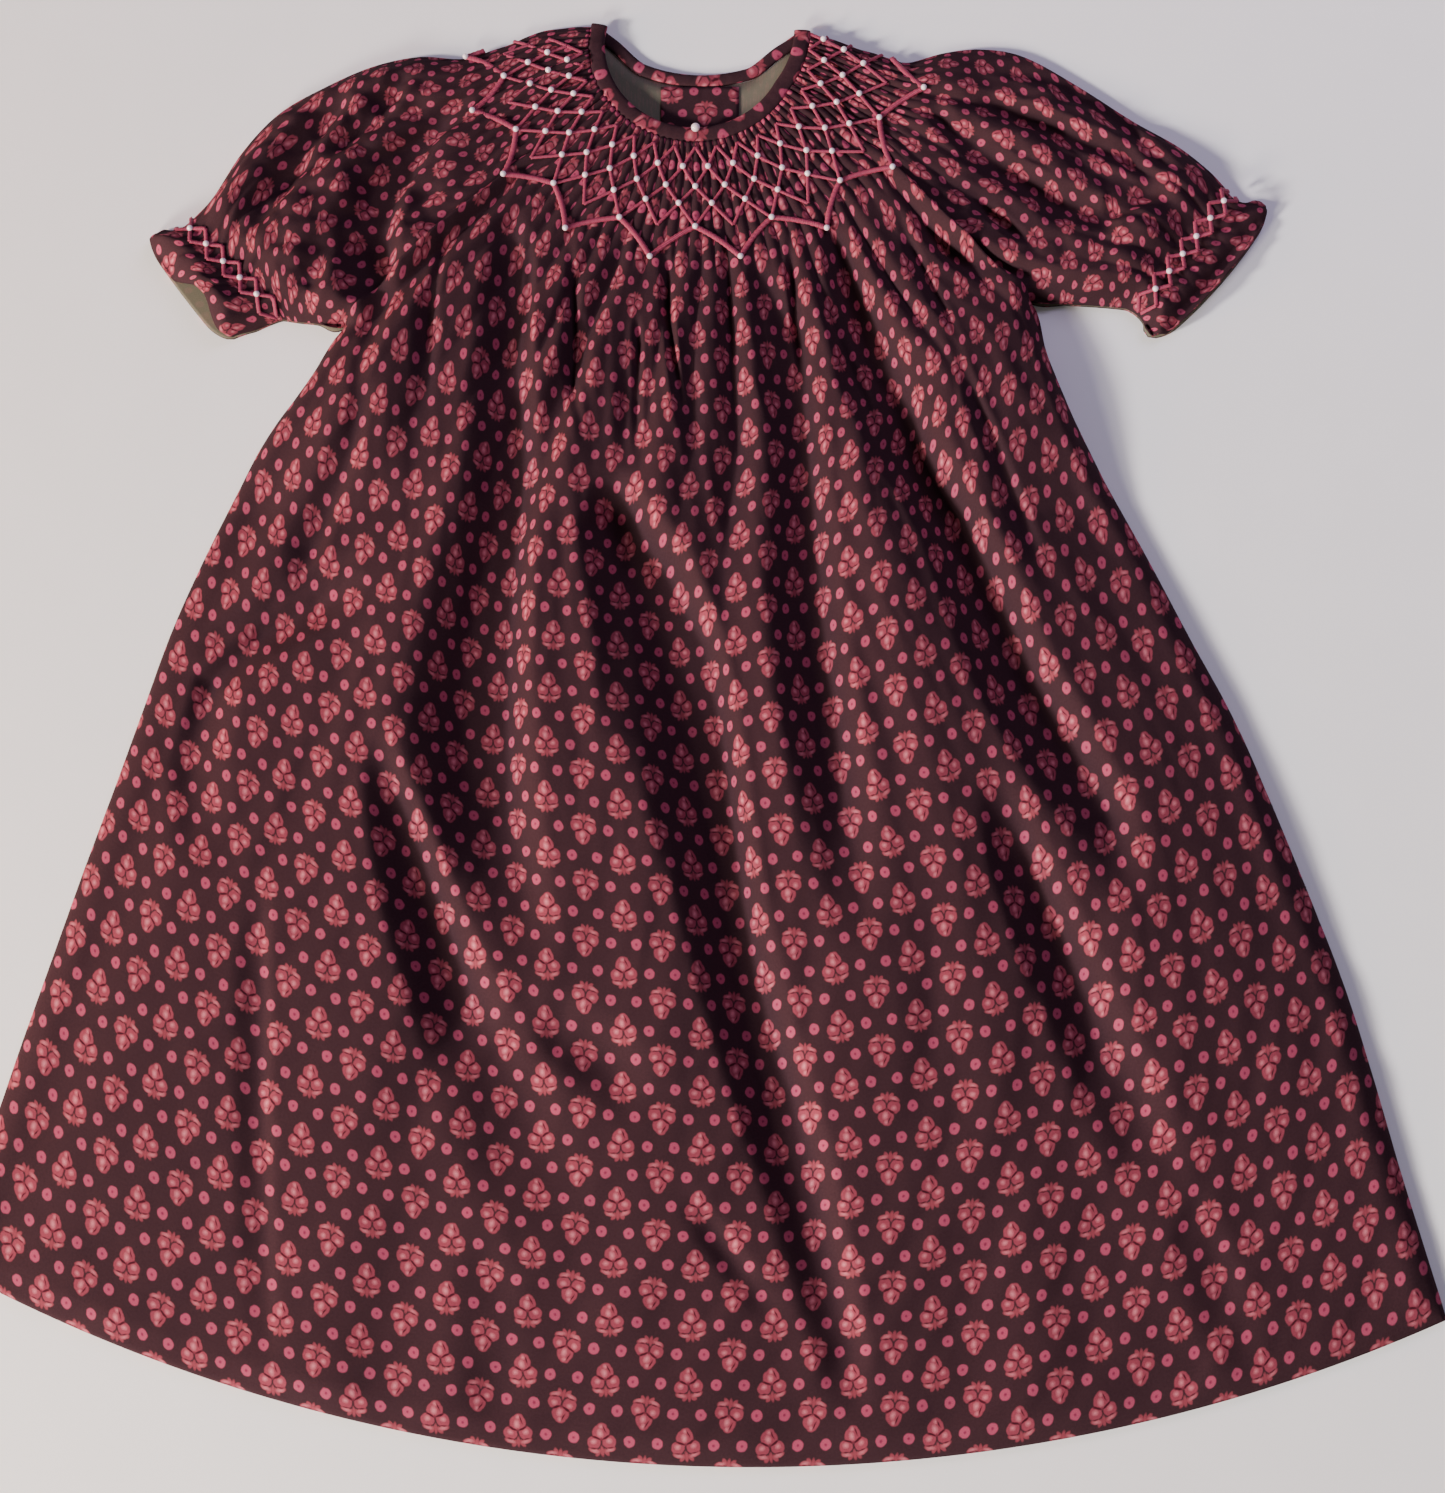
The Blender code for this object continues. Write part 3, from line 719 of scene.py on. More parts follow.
def lowest_near(height):
    """The lowest height in the cells around each point."""
    low = height
    for axis, reach in ((0, 2), (1, 2)):
        for step in range(1, reach + 1):
            up = np.concatenate([height.take(range(step, height.shape[axis]), axis)]
                                + [height.take([-1], axis)] * step, axis)
            down = np.concatenate([height.take([0], axis)] * step
                                  + [height.take(range(height.shape[axis] - step), axis)], axis)
            low = np.minimum(low, np.minimum(up, down))
        height = low
    return low


# Narrow deep creases between the gathers, too fine for the solids.
CREASES = {
    "gather_one": [
        # x, y, depth, left_half, right_half
        (-60, 250, 0, 3.5, 3),
        (-57, 214, 4, 4, 2.6),
        (-58.5, 178, 4.5, 4.5, 2.8),
        (-51, 138, 0, 4, 3),
    ],
    "gather_two": [
        (-28, 208, 0, 3, 3),
        (-26.5, 192, 5, 4, 2.6),
        (-27, 162, 4.5, 4, 2.8),
        (-27, 134, 0, 3, 3),
    ],
    "gather_three": [
        (-14, 246, 0, 3.5, 3),
        (-13.5, 220, 5, 4, 2.6),
        (-10, 185, 7, 4.5, 2.8),
        (-5, 146, 0, 4, 3),
    ],
    "gather_four": [
        (45, 250, 0, 3.5, 3),
        (46.5, 226, 5, 4, 3),
        (50, 195, 6, 5, 3),
        (53, 162, 0, 4, 3),
    ],
    "gather_five": [
        (-80, 252, 0, 3, 3),
        (-78.5, 231, 6, 4, 3),
        (-79, 205, 5, 4, 3),
        (-79, 178, 0, 3, 3),
    ],
    "gather_six": [
        (14, 244, 0, 3, 3),
        (15, 224, 1.5, 4, 3),
        (18, 198, 1.5, 4, 3),
        (20, 172, 0, 3, 3),
    ],
    "gather_seven": [
        (-118, 256, 0, 3, 3),
        (-120, 238, 3.5, 5, 3),
        (-124, 214, 3.5, 5, 3),
        (-127, 180, 0, 4, 3),
    ],
    "gather_eight": [
        (96, 262, 0, 3, 3),
        (104, 240, 3, 6, 3),
        (114, 214, 3, 6, 3),
        (126, 188, 0, 4, 3),
    ],
    "ridge_cut": [
        (118, 200, 0, 4, 4),
        (132, 158, 4, 8, 5),
        (148, 116, 4, 9, 6),
        (160, 84, 0, 6, 6),
    ],
    "far_left_soft": [
        (-150, 172, 0, 6, 5),
        (-164, 130, 4, 12, 8),
        (-178, 92, 5, 14, 9),
        (-186, 70, 0, 8, 8),
    ],
    "left_main_deep": [
        (-88, 112, 0, 30, 14),
        (-91, 62, 4, 44, 17),
        (-92, 20, 5.5, 50, 19),
        (-90, -20, 4.5, 44, 19),
        (-84, -60, 0, 30, 16),
    ],
    "middle_deep": [
        (-42, 122, 0, 14, 10),
        (-34, 104, 4, 24, 15),
        (-18, 78, 6, 38, 18),
        (-2, 44, 6, 48, 17),
        (6, 8, 5, 44, 16),
        (12, -30, 3, 34, 16),
        (18, -70, 0, 26, 16),
    ],
    "left_side_sharp": [
        (-156, 88, 0, 6, 8),
        (-174, 78, 4, 7, 11),
        (-196, 64, 5, 8, 12),
        (-218, 50, 3, 8, 12),
        (-230, 40, 0, 6, 8),
    ],
    "left_hem_soft": [
        (-96, -214, 0, 14, 12),
        (-88, -246, 1.5, 20, 16),
        (-84, -290, 1.5, 20, 16),
        (-84, -318, 0, 14, 12),
    ],
    "right_hem_soft": [
        (214, -196, 0, 12, 10),
        (226, -230, 2.5, 20, 14),
        (236, -262, 2, 18, 14),
        (244, -290, 0, 12, 10),
    ],
}


def crease_depth(x, y):
    """Depth of all narrow creases at plan points."""
    total = np.zeros(np.shape(x))
    for rows in CREASES.values():
        total = np.maximum(total, trough(x, y, rows))
    return total


DENT_HEIGHT = 0.24
# Each row is stretched to this half width for its wrinkles, so they run with the cloth.
WRINKLE_HALF = 330
# Forms down the front by distance from the neck centre: start and run in mm.
WRINKLES_START = (100, 60)
DENTS_START = (130, 60)
PRINT_FREED = (100, 40)


def front_surface(edge):
    """Points of the front and its print coordinates."""
    rows = section_rows(SECTIONS, FRONT_ROWS + 1)
    place = np.linspace(0, FRONT_PLEATS, FRONT_PLEATS * FRONT_STEP + 1)
    plan = []
    for row in rows:
        half = (row[3] - row[1]) / 2
        plan.append(arc_row(row, np.linspace(-1, 1, len(place)) * (1 - SEAM_GAP / half)))
    plan = np.array(plan)
    x, y = plan[..., 0], plan[..., 1]
    distance = (NECK_Y - rows[:, 0])[:, None] + 0 * x
    gather = sharp_gathers(place[None, :] + 0 * x, distance)
    small = wrinkles(x * WRINKLE_HALF / (x.max(axis=1)[:, None]), distance, 3.0)
    small = small * ramp(distance, *WRINKLES_START)
    small = small + DENT_HEIGHT * soft_dents(x, y) * ramp(distance, *DENTS_START)
    base = upper_height(x, y, gather + small - crease_depth(x, y), edge)
    rise = FINE_PLEAT * pleat_rise(distance)
    z = base + rise * (pleats(place)[None, :] - 0.25)
    points = np.stack([x, y, z], axis=-1)
    pleated = 1 - ramp(distance[:, 0], *PRINT_FREED)
    width = column(CLOTH_WIDTH, 1, distance[:, 0])
    across = print_across(points, width, pleated, place)
    along = print_along(points)[:, None] + 0 * across
    return points, np.stack([across, -along], axis=-1)


def sleeve_rows(table):
    """Fine rows of a sleeve and their fractional places."""
    steps = []
    for a, b in zip(table[:-1], table[1:]):
        steps.append((math.dist(a[0:2], b[0:2]) + math.dist(a[2:4], b[2:4])) / 2)
    places = even_places(steps, SLEEVE_ROWS + 1)
    return smooth_rows(table, places), places


def corner_pull(shares, length, reach):
    """How far the edge draws back near its two ends, for round corners."""
    near = np.minimum(shares, 1 - shares) * length
    bend = clamp01(1 - near / (2 * CORNER_R))
    return (reach * (1 - np.sqrt(1 - bend * bend)))[:, None]


# Forms along a sleeve: the place, in rows of its table, where each starts, and its run.
PLEATS_END = (7.0, 1.0)
CUFF_GATHERS_START = (9.5, 2.5)
PUFF_END = (11.0, 2.5)
CRUMPLES_END = (11.0, 2.0)
CUFF_GATHERS_END = (13.2, 0.8)
BAND_START = (13.3, 0.7)
CORNERS_START = (15.5, 2.5)
BAND_END = (16.0, 0.8)
RUFFLE_START = (16.2, 1.2)
NOTCH_START = (16.2, 1.8)
NOTCH_PLACE = 0.66
NOTCH_HALF = 0.34
# Forms by distance from the neck centre: start and run in mm.
CRUMPLES_START = (112.0, 40.0)
TILT_START = (110.0, 50.0)
# Cloth from the top fold round to the underside's edge, as the print counts it, in mm.
SLEEVE_ROUND = 130.0
CUFF_PUCKER = 1.7
RUFFLE_WAVE = 1.5
SLEEVE_WRINKLE = 1.3
SLEEVE_GATHER = 0.7
# From this distance on, the sleeve's gathers keep the same height.
SLEEVE_GATHERS_REACH = 190
# Width that a sleeve's wrinkles are laid out on, and how thick its upper cloth is.
SLEEVE_WIDTH = 150
SLEEVE_WALL = 1.0


def sleeve_gather(at, place, shares, plan, travelled, seed, crumple, tilt):
    """Gathers, wrinkles, crumples and the ruffle's wave along one row of a sleeve."""
    x, y = plan[:, 0], plan[:, 1]
    distance = np.hypot(x, y - NECK_Y)
    fade = 1 - ramp(at, *PUFF_END)
    near_neck = np.minimum(distance, SLEEVE_GATHERS_REACH)
    gather = SLEEVE_GATHER * sharp_gathers(place + 3, near_neck) * fade
    cuff = ramp(at, *CUFF_GATHERS_START) * (1 - ramp(at, *CUFF_GATHERS_END))
    swing = place + 0.35 * np.sin(place * 1.9 + seed)
    gather = gather + cuff * (CUFF_PUCKER * np.abs(np.cos(math.pi * swing / 1.6)) - 0.9)
    wide = (shares - 0.5) * SLEEVE_WIDTH
    gather = gather + SLEEVE_WRINKLE * fade * wrinkles(wide, 0 * wide + travelled, seed)
    puff = ramp(distance, *CRUMPLES_START) * (1 - ramp(at, *CRUMPLES_END))
    gather = gather + crumple * crumples(x, y, seed) * puff
    gather = gather - tilt * (1 - shares) * ramp(distance, *TILT_START)
    wave = RUFFLE_WAVE * np.cos(2 * math.pi * swing / 2.3 + seed)
    return gather + ramp(at, *RUFFLE_START) * wave


def sleeve_print(outer, places, fold):
    """Print coordinates of a sleeve: across from its top fold, and along its rows."""
    along = row_lengths(outer)
    across = along - along[:, fold:fold + 1]
    blend = 0.5 * smooth_step((12 - places) / 6) + 0.25
    grown = SLEEVE_ROUND / np.maximum(along[:, fold], 1.0)
    across = across * (1 + (grown - 1) * np.minimum(blend, 1))[:, None]
    length = print_along(outer)[:, None] + 0 * across
    return SLEEVE_PRINT * np.stack([across, -length], axis=-1)


def sleeve_surface(table, sign, edge, seed, notch, crumple, tilt):
    """Outer and inner points of a sleeve shell and its print coordinates."""
    rows, places = sleeve_rows(table)
    place = np.linspace(0, SLEEVE_PLEATS, SLEEVE_PLEATS * SLEEVE_STEP + 1)[:-1]
    outer, inner = [], []
    travelled = 0.0
    for index, (row, at) in enumerate(zip(rows, places)):
        bottom, top, bow = row[0:2], row[2:4], row[4]
        if index:
            before = rows[index - 1]
            travelled += (math.dist(before[0:2], bottom) + math.dist(before[2:4], top)) / 2
        length = math.dist(bottom, top)
        gap = 1 - SEAM_GAP / length
        last = FOLD_RUN / length
        shares = 1 - (1 - last) * (place / place[-1])
        shares = shares * gap
        plan = bowed(bottom, top, bow, shares, sign)
        heading = (bottom - top) / length
        out = np.array([-heading[1], heading[0]]) * sign
        travel = (row[0:4] - rows[max(index - 1, 0)][0:4]).reshape(2, 2).mean(axis=0)
        travel = travel / max(np.linalg.norm(travel), 1e-6)
        round_off = CORNER_R * ramp(at, *CORNERS_START)
        beside = np.abs(shares - NOTCH_PLACE) / NOTCH_HALF
        inset = notch * ramp(at, *NOTCH_START) * smooth_step(1 - beside)
        plan = plan - out * inset[:, None] - travel * corner_pull(shares, length, round_off)
        x, y = plan[:, 0], plan[:, 1]
        gather = sleeve_gather(at, place, shares, plan, travelled, seed, crumple, tilt)
        base = upper_height(x, y, gather, edge)
        band = ramp(at, *BAND_START) * (1 - ramp(at, *BAND_END))
        distance = np.hypot(x, y - NECK_Y)
        smocked = FINE_PLEAT * pleat_rise(distance) * (1 - ramp(at, *PLEATS_END))
        rise = np.maximum(smocked, CUFF_RISE * band)
        base = base + rise * (pleats(place) - 0.25)
        near = smooth_step((shares * length - FOLD_RUN) / 3.0)
        base = 2 * FOLD_HALF + (base - 2 * FOLD_HALF) * near
        upper = np.stack([x, y, base], axis=-1)
        floor = WALL + 0.25
        inside = np.stack([x, y, np.maximum(base - SLEEVE_WALL, floor)], axis=-1)
        tip_shares = np.array([0.0, INNER_RUN / length])
        tip = bowed(bottom, top, bow, tip_shares, sign)
        tip = tip - travel * corner_pull(tip_shares, length, round_off)
        inside[-1][:2] = tip[1]
        fold_out = np.array([[tip[0][0], tip[0][1], FOLD_HALF]])
        turn = tip[0] + (tip[1] - tip[0]) * 0.78
        fold_in = np.array([[turn[0], turn[1], FOLD_HALF]])
        spread = np.append(last, np.linspace(0, 1, 41)[1:] * gap)
        low = bowed(bottom, top, bow, spread, sign)
        low = low - travel * corner_pull(spread, length, round_off)
        low_out = np.stack([low[:, 0], low[:, 1], np.zeros(len(low))], axis=-1)
        low_in = np.stack([low[:, 0], low[:, 1], np.full(len(low), WALL)], axis=-1)
        low_in[0][:2] = tip[1]
        outer.append(np.concatenate([upper, fold_out, low_out]))
        inner.append(np.concatenate([inside, fold_in, low_in]))
    outer, inner = np.array(outer), np.array(inner)
    return outer, inner, sleeve_print(outer, places, len(place))


def place_points(points):
    """Moves points to the shared frame and into metres."""
    moved = np.array(points, float)
    moved[..., 0] -= MIDDLE_X
    moved[..., 1] -= MIDDLE_Y
    return moved * MM


def new_object(name, verts, faces, uvs=None, slots=None, materials=(), smooth=True):
    """A mesh object from arrays, with one UV for each vertex."""
    mesh = bpy.data.meshes.new(name)
    mesh.from_pydata([tuple(v) for v in verts], [], faces)
    if uvs is not None:
        layer = mesh.uv_layers.new(name="print_mm")
        order = np.empty(len(mesh.loops), dtype=np.int32)
        mesh.loops.foreach_get("vertex_index", order)
        layer.data.foreach_set("uv", np.asarray(uvs, dtype=np.float32)[order].ravel())
    for material in materials:
        mesh.materials.append(material)
    if slots is not None:
        mesh.polygons.foreach_set("material_index", np.asarray(slots, dtype=np.int32))
    if smooth:
        mesh.polygons.foreach_set("use_smooth", [True] * len(mesh.polygons))
    mesh.validate()
    mesh.update()
    piece = bpy.data.objects.new(name, mesh)
    bpy.context.scene.collection.objects.link(piece)
    return piece


def shell_object(name, outer, inner, uv, materials, edge_slot=0):
    """A closed cloth shell: outer faces take the first material, inner faces the second."""
    rows, columns = outer.shape[:2]
    fine = np.arange(rows * columns).reshape(rows, columns)
    step_r = (rows - 1) // (inner.shape[0] - 1)
    step_c = (columns - 1) // (inner.shape[1] - 1)
    coarse = rows * columns + np.arange(inner.shape[0] * inner.shape[1])
    coarse = coarse.reshape(inner.shape[:2])
    faces, slots = [], []

    def quads(grid, turned, slot):
        a, b = grid[:-1, :-1].ravel(), grid[1:, :-1].ravel()
        c, d = grid[1:, 1:].ravel(), grid[:-1, 1:].ravel()
        cycle = (a, d, c, b) if turned else (a, b, c, d)
        faces.extend(zip(*[part.tolist() for part in cycle]))
        slots.extend([slot] * len(a))

    quads(fine, False, 0)
    quads(coarse, True, 1)

    def rim(line, low, step, turned):
        for k in range(len(low) - 1):
            top = line[k * step:(k + 1) * step + 1].tolist()
            face = top + [int(low[k + 1]), int(low[k])]
            faces.append(tuple(reversed(face)) if turned else tuple(face))
            slots.append(edge_slot)

    rim(fine[0], coarse[0], step_c, False)
    rim(fine[-1], coarse[-1], step_c, True)
    rim(fine[:, 0], coarse[:, 0], step_r, True)
    rim(fine[:, -1], coarse[:, -1], step_r, False)
    verts = place_points(np.concatenate([outer.reshape(-1, 3), inner.reshape(-1, 3)]))
    inner_uv = uv[::step_r, ::step_c].reshape(-1, 2)
    uvs = np.concatenate([uv.reshape(-1, 2), inner_uv])
    return new_object(name, verts, faces, uvs, slots, materials)


def linear(code):
    """A linear colour from an sRGB hex code."""
    parts = [int(code[i:i + 2], 16) / 255 for i in (1, 3, 5)]
    light = [c / 12.92 if c <= 0.04045 else ((c + 0.055) / 1.055) ** 2.4 for c in parts]
    return (*light, 1.0)


def node(tree, kind, inputs=None, **settings):
    """Adds a node, sets what is asked and links or fills its inputs."""
    made = tree.nodes.new(kind)
    for key, value in settings.items():
        setattr(made, key, value)
    for key, value in (inputs or {}).items():
        if isinstance(value, bpy.types.NodeSocket):
            tree.links.new(value, made.inputs[key])
        else:
            made.inputs[key].default_value = value
    return made


def maths(tree, operation, *values, clamp=False):
    inputs = {i: v for i, v in enumerate(values)}
    return node(tree, "ShaderNodeMath", inputs, operation=operation, use_clamp=clamp).outputs[0]


def vector_maths(tree, operation, *values):
    inputs = {i: v for i, v in enumerate(values)}
    made = node(tree, "ShaderNodeVectorMath", inputs, operation=operation)
    return made.outputs["Value"] if operation == "LENGTH" else made.outputs[0]


def ellipse(tree, where, centre, half, turn=0.0):
    """Signed distance, roughly, to an ellipse in print millimetres."""
    placed = node(tree, "ShaderNodeMapping", {
        "Vector": where,
        "Location": (*centre, 0.0),
        "Rotation": (0.0, 0.0, math.radians(turn)),
        "Scale": (*half, 1.0),
    }, vector_type="TEXTURE")
    length = vector_maths(tree, "LENGTH", placed.outputs[0])
    least = min(half)
    return maths(tree, "MULTIPLY_ADD", length, least, -least)


def lowest(tree, values):
    result = values[0]
    for value in values[1:]:
        result = maths(tree, "MINIMUM", result, value)
    return result


def inside(tree, distance, soft):
    """One inside a shape and zero outside, with a soft edge."""
    made = node(tree, "ShaderNodeMapRange", {
        "Value": distance, "From Min": soft, "From Max": -soft, "To Min": 0.0, "To Max": 1.0,
    }, clamp=True)
    return made.outputs[0]


def mix(tree, share, low, high, blend="MIX"):
    made = node(tree, "ShaderNodeMix", {"Factor": share}, data_type="RGBA", blend_type=blend)
    for socket, value in (("A", low), ("B", high)):
        target = next(s for s in made.inputs if s.name == socket and s.type == "RGBA")
        if isinstance(value, bpy.types.NodeSocket):
            tree.links.new(value, target)
        else:
            target.default_value = value
    return next(s for s in made.outputs if s.type == "RGBA")


def noise(tree, where, scale, detail):
    inputs = {"Vector": where, "Scale": scale, "Detail": detail}
    return node(tree, "ShaderNodeTexNoise", inputs)


def two_tones(tree, share, pair):
    """A colour between the two of a pair, by a share."""
    return mix(tree, share, linear(pair[0]), linear(pair[1]))


def grouped(tree, group, where):
    """A node group at work on coordinates."""
    made = node(tree, "ShaderNodeGroup", node_tree=group)
    tree.links.new(where, made.inputs[0])
    return made


def new_tree(name, kind, inputs, outputs):
    """A node group with named sockets, its input node and its output node."""
    tree = bpy.data.node_groups.new(name, kind)
    for in_out, sockets in (("INPUT", inputs), ("OUTPUT", outputs)):
        for label, sort in sockets:
            tree.interface.new_socket(label, in_out=in_out, socket_type="NodeSocket" + sort)
    return tree, tree.nodes.new("NodeGroupInput"), tree.nodes.new("NodeGroupOutput")


# Print sizes in millimetres: one motif and two dots in each width, rows a half width apart.
PRINT_WIDTH = 37.3
PRINT_HEIGHT = 25.8
DOT_HALF = 2.45
# The motif leans a little, its tip to the left.
MOTIF_TURN = math.radians(-7.0)
# Parts of the motif: mirrored or single, centre x, y, half sizes, turn.
LOBES = [
    # mirrored, x, y, half_x, half_y, turn
    (False, 0.0, 3.2, 3.7, 3.5, 0),
    (False, 0.4, 5.2, 2.4, 2.1, 0),
    (True, 3.4, -1.0, 3.0, 2.9, 0),
]
LEAVES = [
    (True, 3.9, -4.3, 2.2, 1.2, 18),
    (True, 1.8, -5.5, 1.8, 1.0, -55),
    (False, 0.0, -5.0, 0.8, 2.2, 0),
]
VEINS = [
    (False, 0.0, -1.9, 0.46, 2.4, 0),
    (True, 2.4, 1.1, 0.46, 2.8, -62),
    (True, 3.5, -3.7, 2.4, 0.4, 8),
    (False, 1.6, 4.6, 0.3, 1.6, 22),
]
SPOTS = [
    (True, 3.5, -0.6, 0.8, 0.7, 0),
    (False, -0.4, 2.9, 0.9, 1.2, 12),
    (False, 0.2, 5.8, 0.5, 0.5, 0),
    (True, 3.4, -4.6, 0.8, 0.35, 16),
]
BRANCHES = {"lobe": LOBES, "leaf": LEAVES, "vein": VEINS, "spot": SPOTS}
# How soft the edge of each printed part is, the width of a dot's rim and its inner edge.
PRINT_SOFT = {"leaf": 0.25, "lobe": 0.3, "spot": 0.8, "vein": 0.2, "dot": 0.3}
DOT_RIM = 0.55
HOLE_SOFT = 0.35


def motif_group():
    """Distances to the parts of one motif and its dots, in a cell's coordinates."""
    distances = [(name, "Float") for name in (*BRANCHES, "dot")]
    sockets = ([("Vector", "Vector")], distances)
    tree, start, stop = new_tree("print_motif", "ShaderNodeTree", *sockets)
    plain = start.outputs[0]
    lean = node(tree, "ShaderNodeMapping", {"Vector": plain, "Rotation": (0.0, 0.0, MOTIF_TURN)})
    leaning = lean.outputs[0]
    folds = []
    for place in (plain, leaning):
        split = node(tree, "ShaderNodeSeparateXYZ", {0: place})
        across = maths(tree, "ABSOLUTE", split.outputs[0])
        fold = node(tree, "ShaderNodeCombineXYZ", {0: across, 1: split.outputs[1]})
        folds.append(fold.outputs[0])
    folded, folded_motif = folds
    for name, parts in BRANCHES.items():
        shapes = []
        for mirrored, x, y, half_x, half_y, turn in parts:
            where = folded_motif if mirrored else leaning
            shapes.append(ellipse(tree, where, (x, y), (half_x, half_y), turn))
        tree.links.new(lowest(tree, shapes), stop.inputs[name])
    dot = ellipse(tree, folded, (PRINT_WIDTH / 3, 0.0), (DOT_HALF, DOT_HALF))
    tree.links.new(dot, stop.inputs["dot"])
    return tree


def print_group(motif):
    """The whole print: colour from print coordinates in millimetres."""
    sockets = ([("Vector", "Vector")], [("Color", "Color")])
    tree, start, stop = new_tree("cotton_print", "ShaderNodeTree", *sockets)
    where = start.outputs[0]
    wobble = noise(tree, where, 0.35, 1.0)
    centred = vector_maths(tree, "SUBTRACT", wobble.outputs["Color"], (0.5, 0.5, 0.5))
    moved = vector_maths(tree, "MULTIPLY_ADD", centred, (0.9, 0.9, 0.0), where)
    high = (PRINT_WIDTH / 2, PRINT_HEIGHT / 2, 1.0)
    low = (-PRINT_WIDTH / 2, -PRINT_HEIGHT / 2, -1.0)
    parts = {}
    for shift, flip in (((0.0, 0.0, 0.0), 1.0), (high, -1.0)):
        shifted = vector_maths(tree, "ADD", moved, (shift[0], shift[1], 0.0))
        cell = vector_maths(tree, "WRAP", shifted, high, low)
        turned = vector_maths(tree, "MULTIPLY", cell, (1.0, flip, 0.0))
        for socket in grouped(tree, motif, turned).outputs:
            parts.setdefault(socket.name, []).append(socket)
    near = {name: lowest(tree, sockets) for name, sockets in parts.items()}
    patch = noise(tree, where, 0.9, 3.0).outputs[0]
    ground = two_tones(tree, patch, GROUND)
    masks = {name: inside(tree, near[name], soft) for name, soft in PRINT_SOFT.items()}
    hole = maths(tree, "ADD", near["dot"], DOT_HALF - DOT_RIM)
    masks["hole"] = inside(tree, hole, HOLE_SOFT)
    masks["vein"] = maths(tree, "MULTIPLY", masks["vein"], masks["lobe"])
    inks = {"leaf": linear(LEAF), "lobe": two_tones(tree, patch, CORAL),
            "spot": linear(HIGHLIGHT), "vein": linear(VEIN), "dot": linear(DOT),
            "hole": linear(DOT_CENTRE)}
    colour = ground
    for name, ink in inks.items():
        colour = mix(tree, masks[name], colour, ink)
    tree.links.new(colour, stop.inputs["Color"])
    return tree


# Cloth colours.
GROUND = ("#2F1C21", "#3D282D")
CORAL = ("#7C3242", "#8F424E")
LEAF = "#823A45"
HIGHLIGHT = "#BE6F79"
VEIN = "#401620"
DOT = "#9E445C"
DOT_CENTRE = "#72243F"
WRONG_SIDE = ("#5C594C", "#827E6C")
THREAD = ("#842C42", "#A84A62")
PEARL = ("#E3C6CB", "#F7EFF0")
PAPER = ("#F6F5F4", "#FBFAF9")
# Thread spacing of the plain weave in mm, and how deep it lies in metres.
WEAVE_MM = 0.42
WEAVE_DEEP = 0.00012
# The same for the strands of the embroidery cotton.
TWIST_MM = 0.9
TWIST_DEEP = 0.00015


def weave_height(tree, where):
    """A plain weave: threads over and under, in print millimetres."""
    split = node(tree, "ShaderNodeSeparateXYZ", {0: where})
    turn = 2 * math.pi / WEAVE_MM
    across = maths(tree, "SINE", maths(tree, "MULTIPLY", split.outputs[0], turn))
    along = maths(tree, "SINE", maths(tree, "MULTIPLY", split.outputs[1], turn))
    return maths(tree, "MULTIPLY", across, along)


def surface(name, roughness, specular=0.05):
    """A new material with its node tree and shader."""
    material = bpy.data.materials.new(name)
    material.use_nodes = True
    tree = material.node_tree
    shader = tree.nodes["Principled BSDF"]
    shader.inputs["Roughness"].default_value = roughness
    shader.inputs["Specular IOR Level"].default_value = specular
    return material, tree, shader


def cover(tree, shader, colour, height=None, strength=0.0, deep=0.0):
    """Links a colour to a shader and, if there is one, a relief of some strength."""
    tree.links.new(colour, shader.inputs["Base Color"])
    if height is not None:
        relief = {"Height": height, "Strength": strength, "Distance": deep}
        bump = node(tree, "ShaderNodeBump", relief)
        tree.links.new(bump.outputs[0], shader.inputs["Normal"])


def print_place(tree):
    return node(tree, "ShaderNodeUVMap", uv_map="print_mm").outputs[0]


def cotton_material(group):
    """Printed plain-weave cotton: matt, with a faint thread relief."""
    material, tree, shader = surface("printed_cotton", 0.88)
    uv = print_place(tree)
    made = grouped(tree, group, uv)
    fuzz = noise(tree, uv, 2.6, 4.0).outputs[0]
    shade = maths(tree, "MULTIPLY_ADD", fuzz, 0.9, 0.55)
    grey = node(tree, "ShaderNodeCombineColor", {0: shade, 1: shade, 2: shade}).outputs[0]
    colour = mix(tree, 1.0, made.outputs["Color"], grey, "MULTIPLY")
    height = maths(tree, "MULTIPLY_ADD", fuzz, 0.8, weave_height(tree, uv))
    cover(tree, shader, colour, height, 0.25, WEAVE_DEEP)
    return material


def wrong_side_material(group):
    """The unprinted side: grey, with the print showing through faintly."""
    material, tree, shader = surface("cotton_wrong_side", 0.92)
    uv = print_place(tree)
    made = grouped(tree, group, uv)
    plain = two_tones(tree, noise(tree, uv, 1.4, 5.0).outputs[0], WRONG_SIDE)
    colour = mix(tree, 0.12, plain, made.outputs["Color"])
    cover(tree, shader, colour, weave_height(tree, uv), 0.3, WEAVE_DEEP)
    return material


def thread_material():
    """Rose embroidery cotton: twisted strands, a soft shine along the twist."""
    material, tree, shader = surface("embroidery_cotton", 0.55, 0.2)
    uv = print_place(tree)
    split = node(tree, "ShaderNodeSeparateXYZ", {0: uv})
    slant = maths(tree, "MULTIPLY_ADD", split.outputs[1], 0.9, split.outputs[0])
    twist = maths(tree, "SINE", maths(tree, "MULTIPLY", slant, 2 * math.pi / TWIST_MM))
    fuzz = noise(tree, uv, 1.1, 2.0).outputs[0]
    share = maths(tree, "MULTIPLY_ADD", twist, 0.18, fuzz, clamp=True)
    cover(tree, shader, two_tones(tree, share, THREAD), twist, 0.6, TWIST_DEEP)
    return material


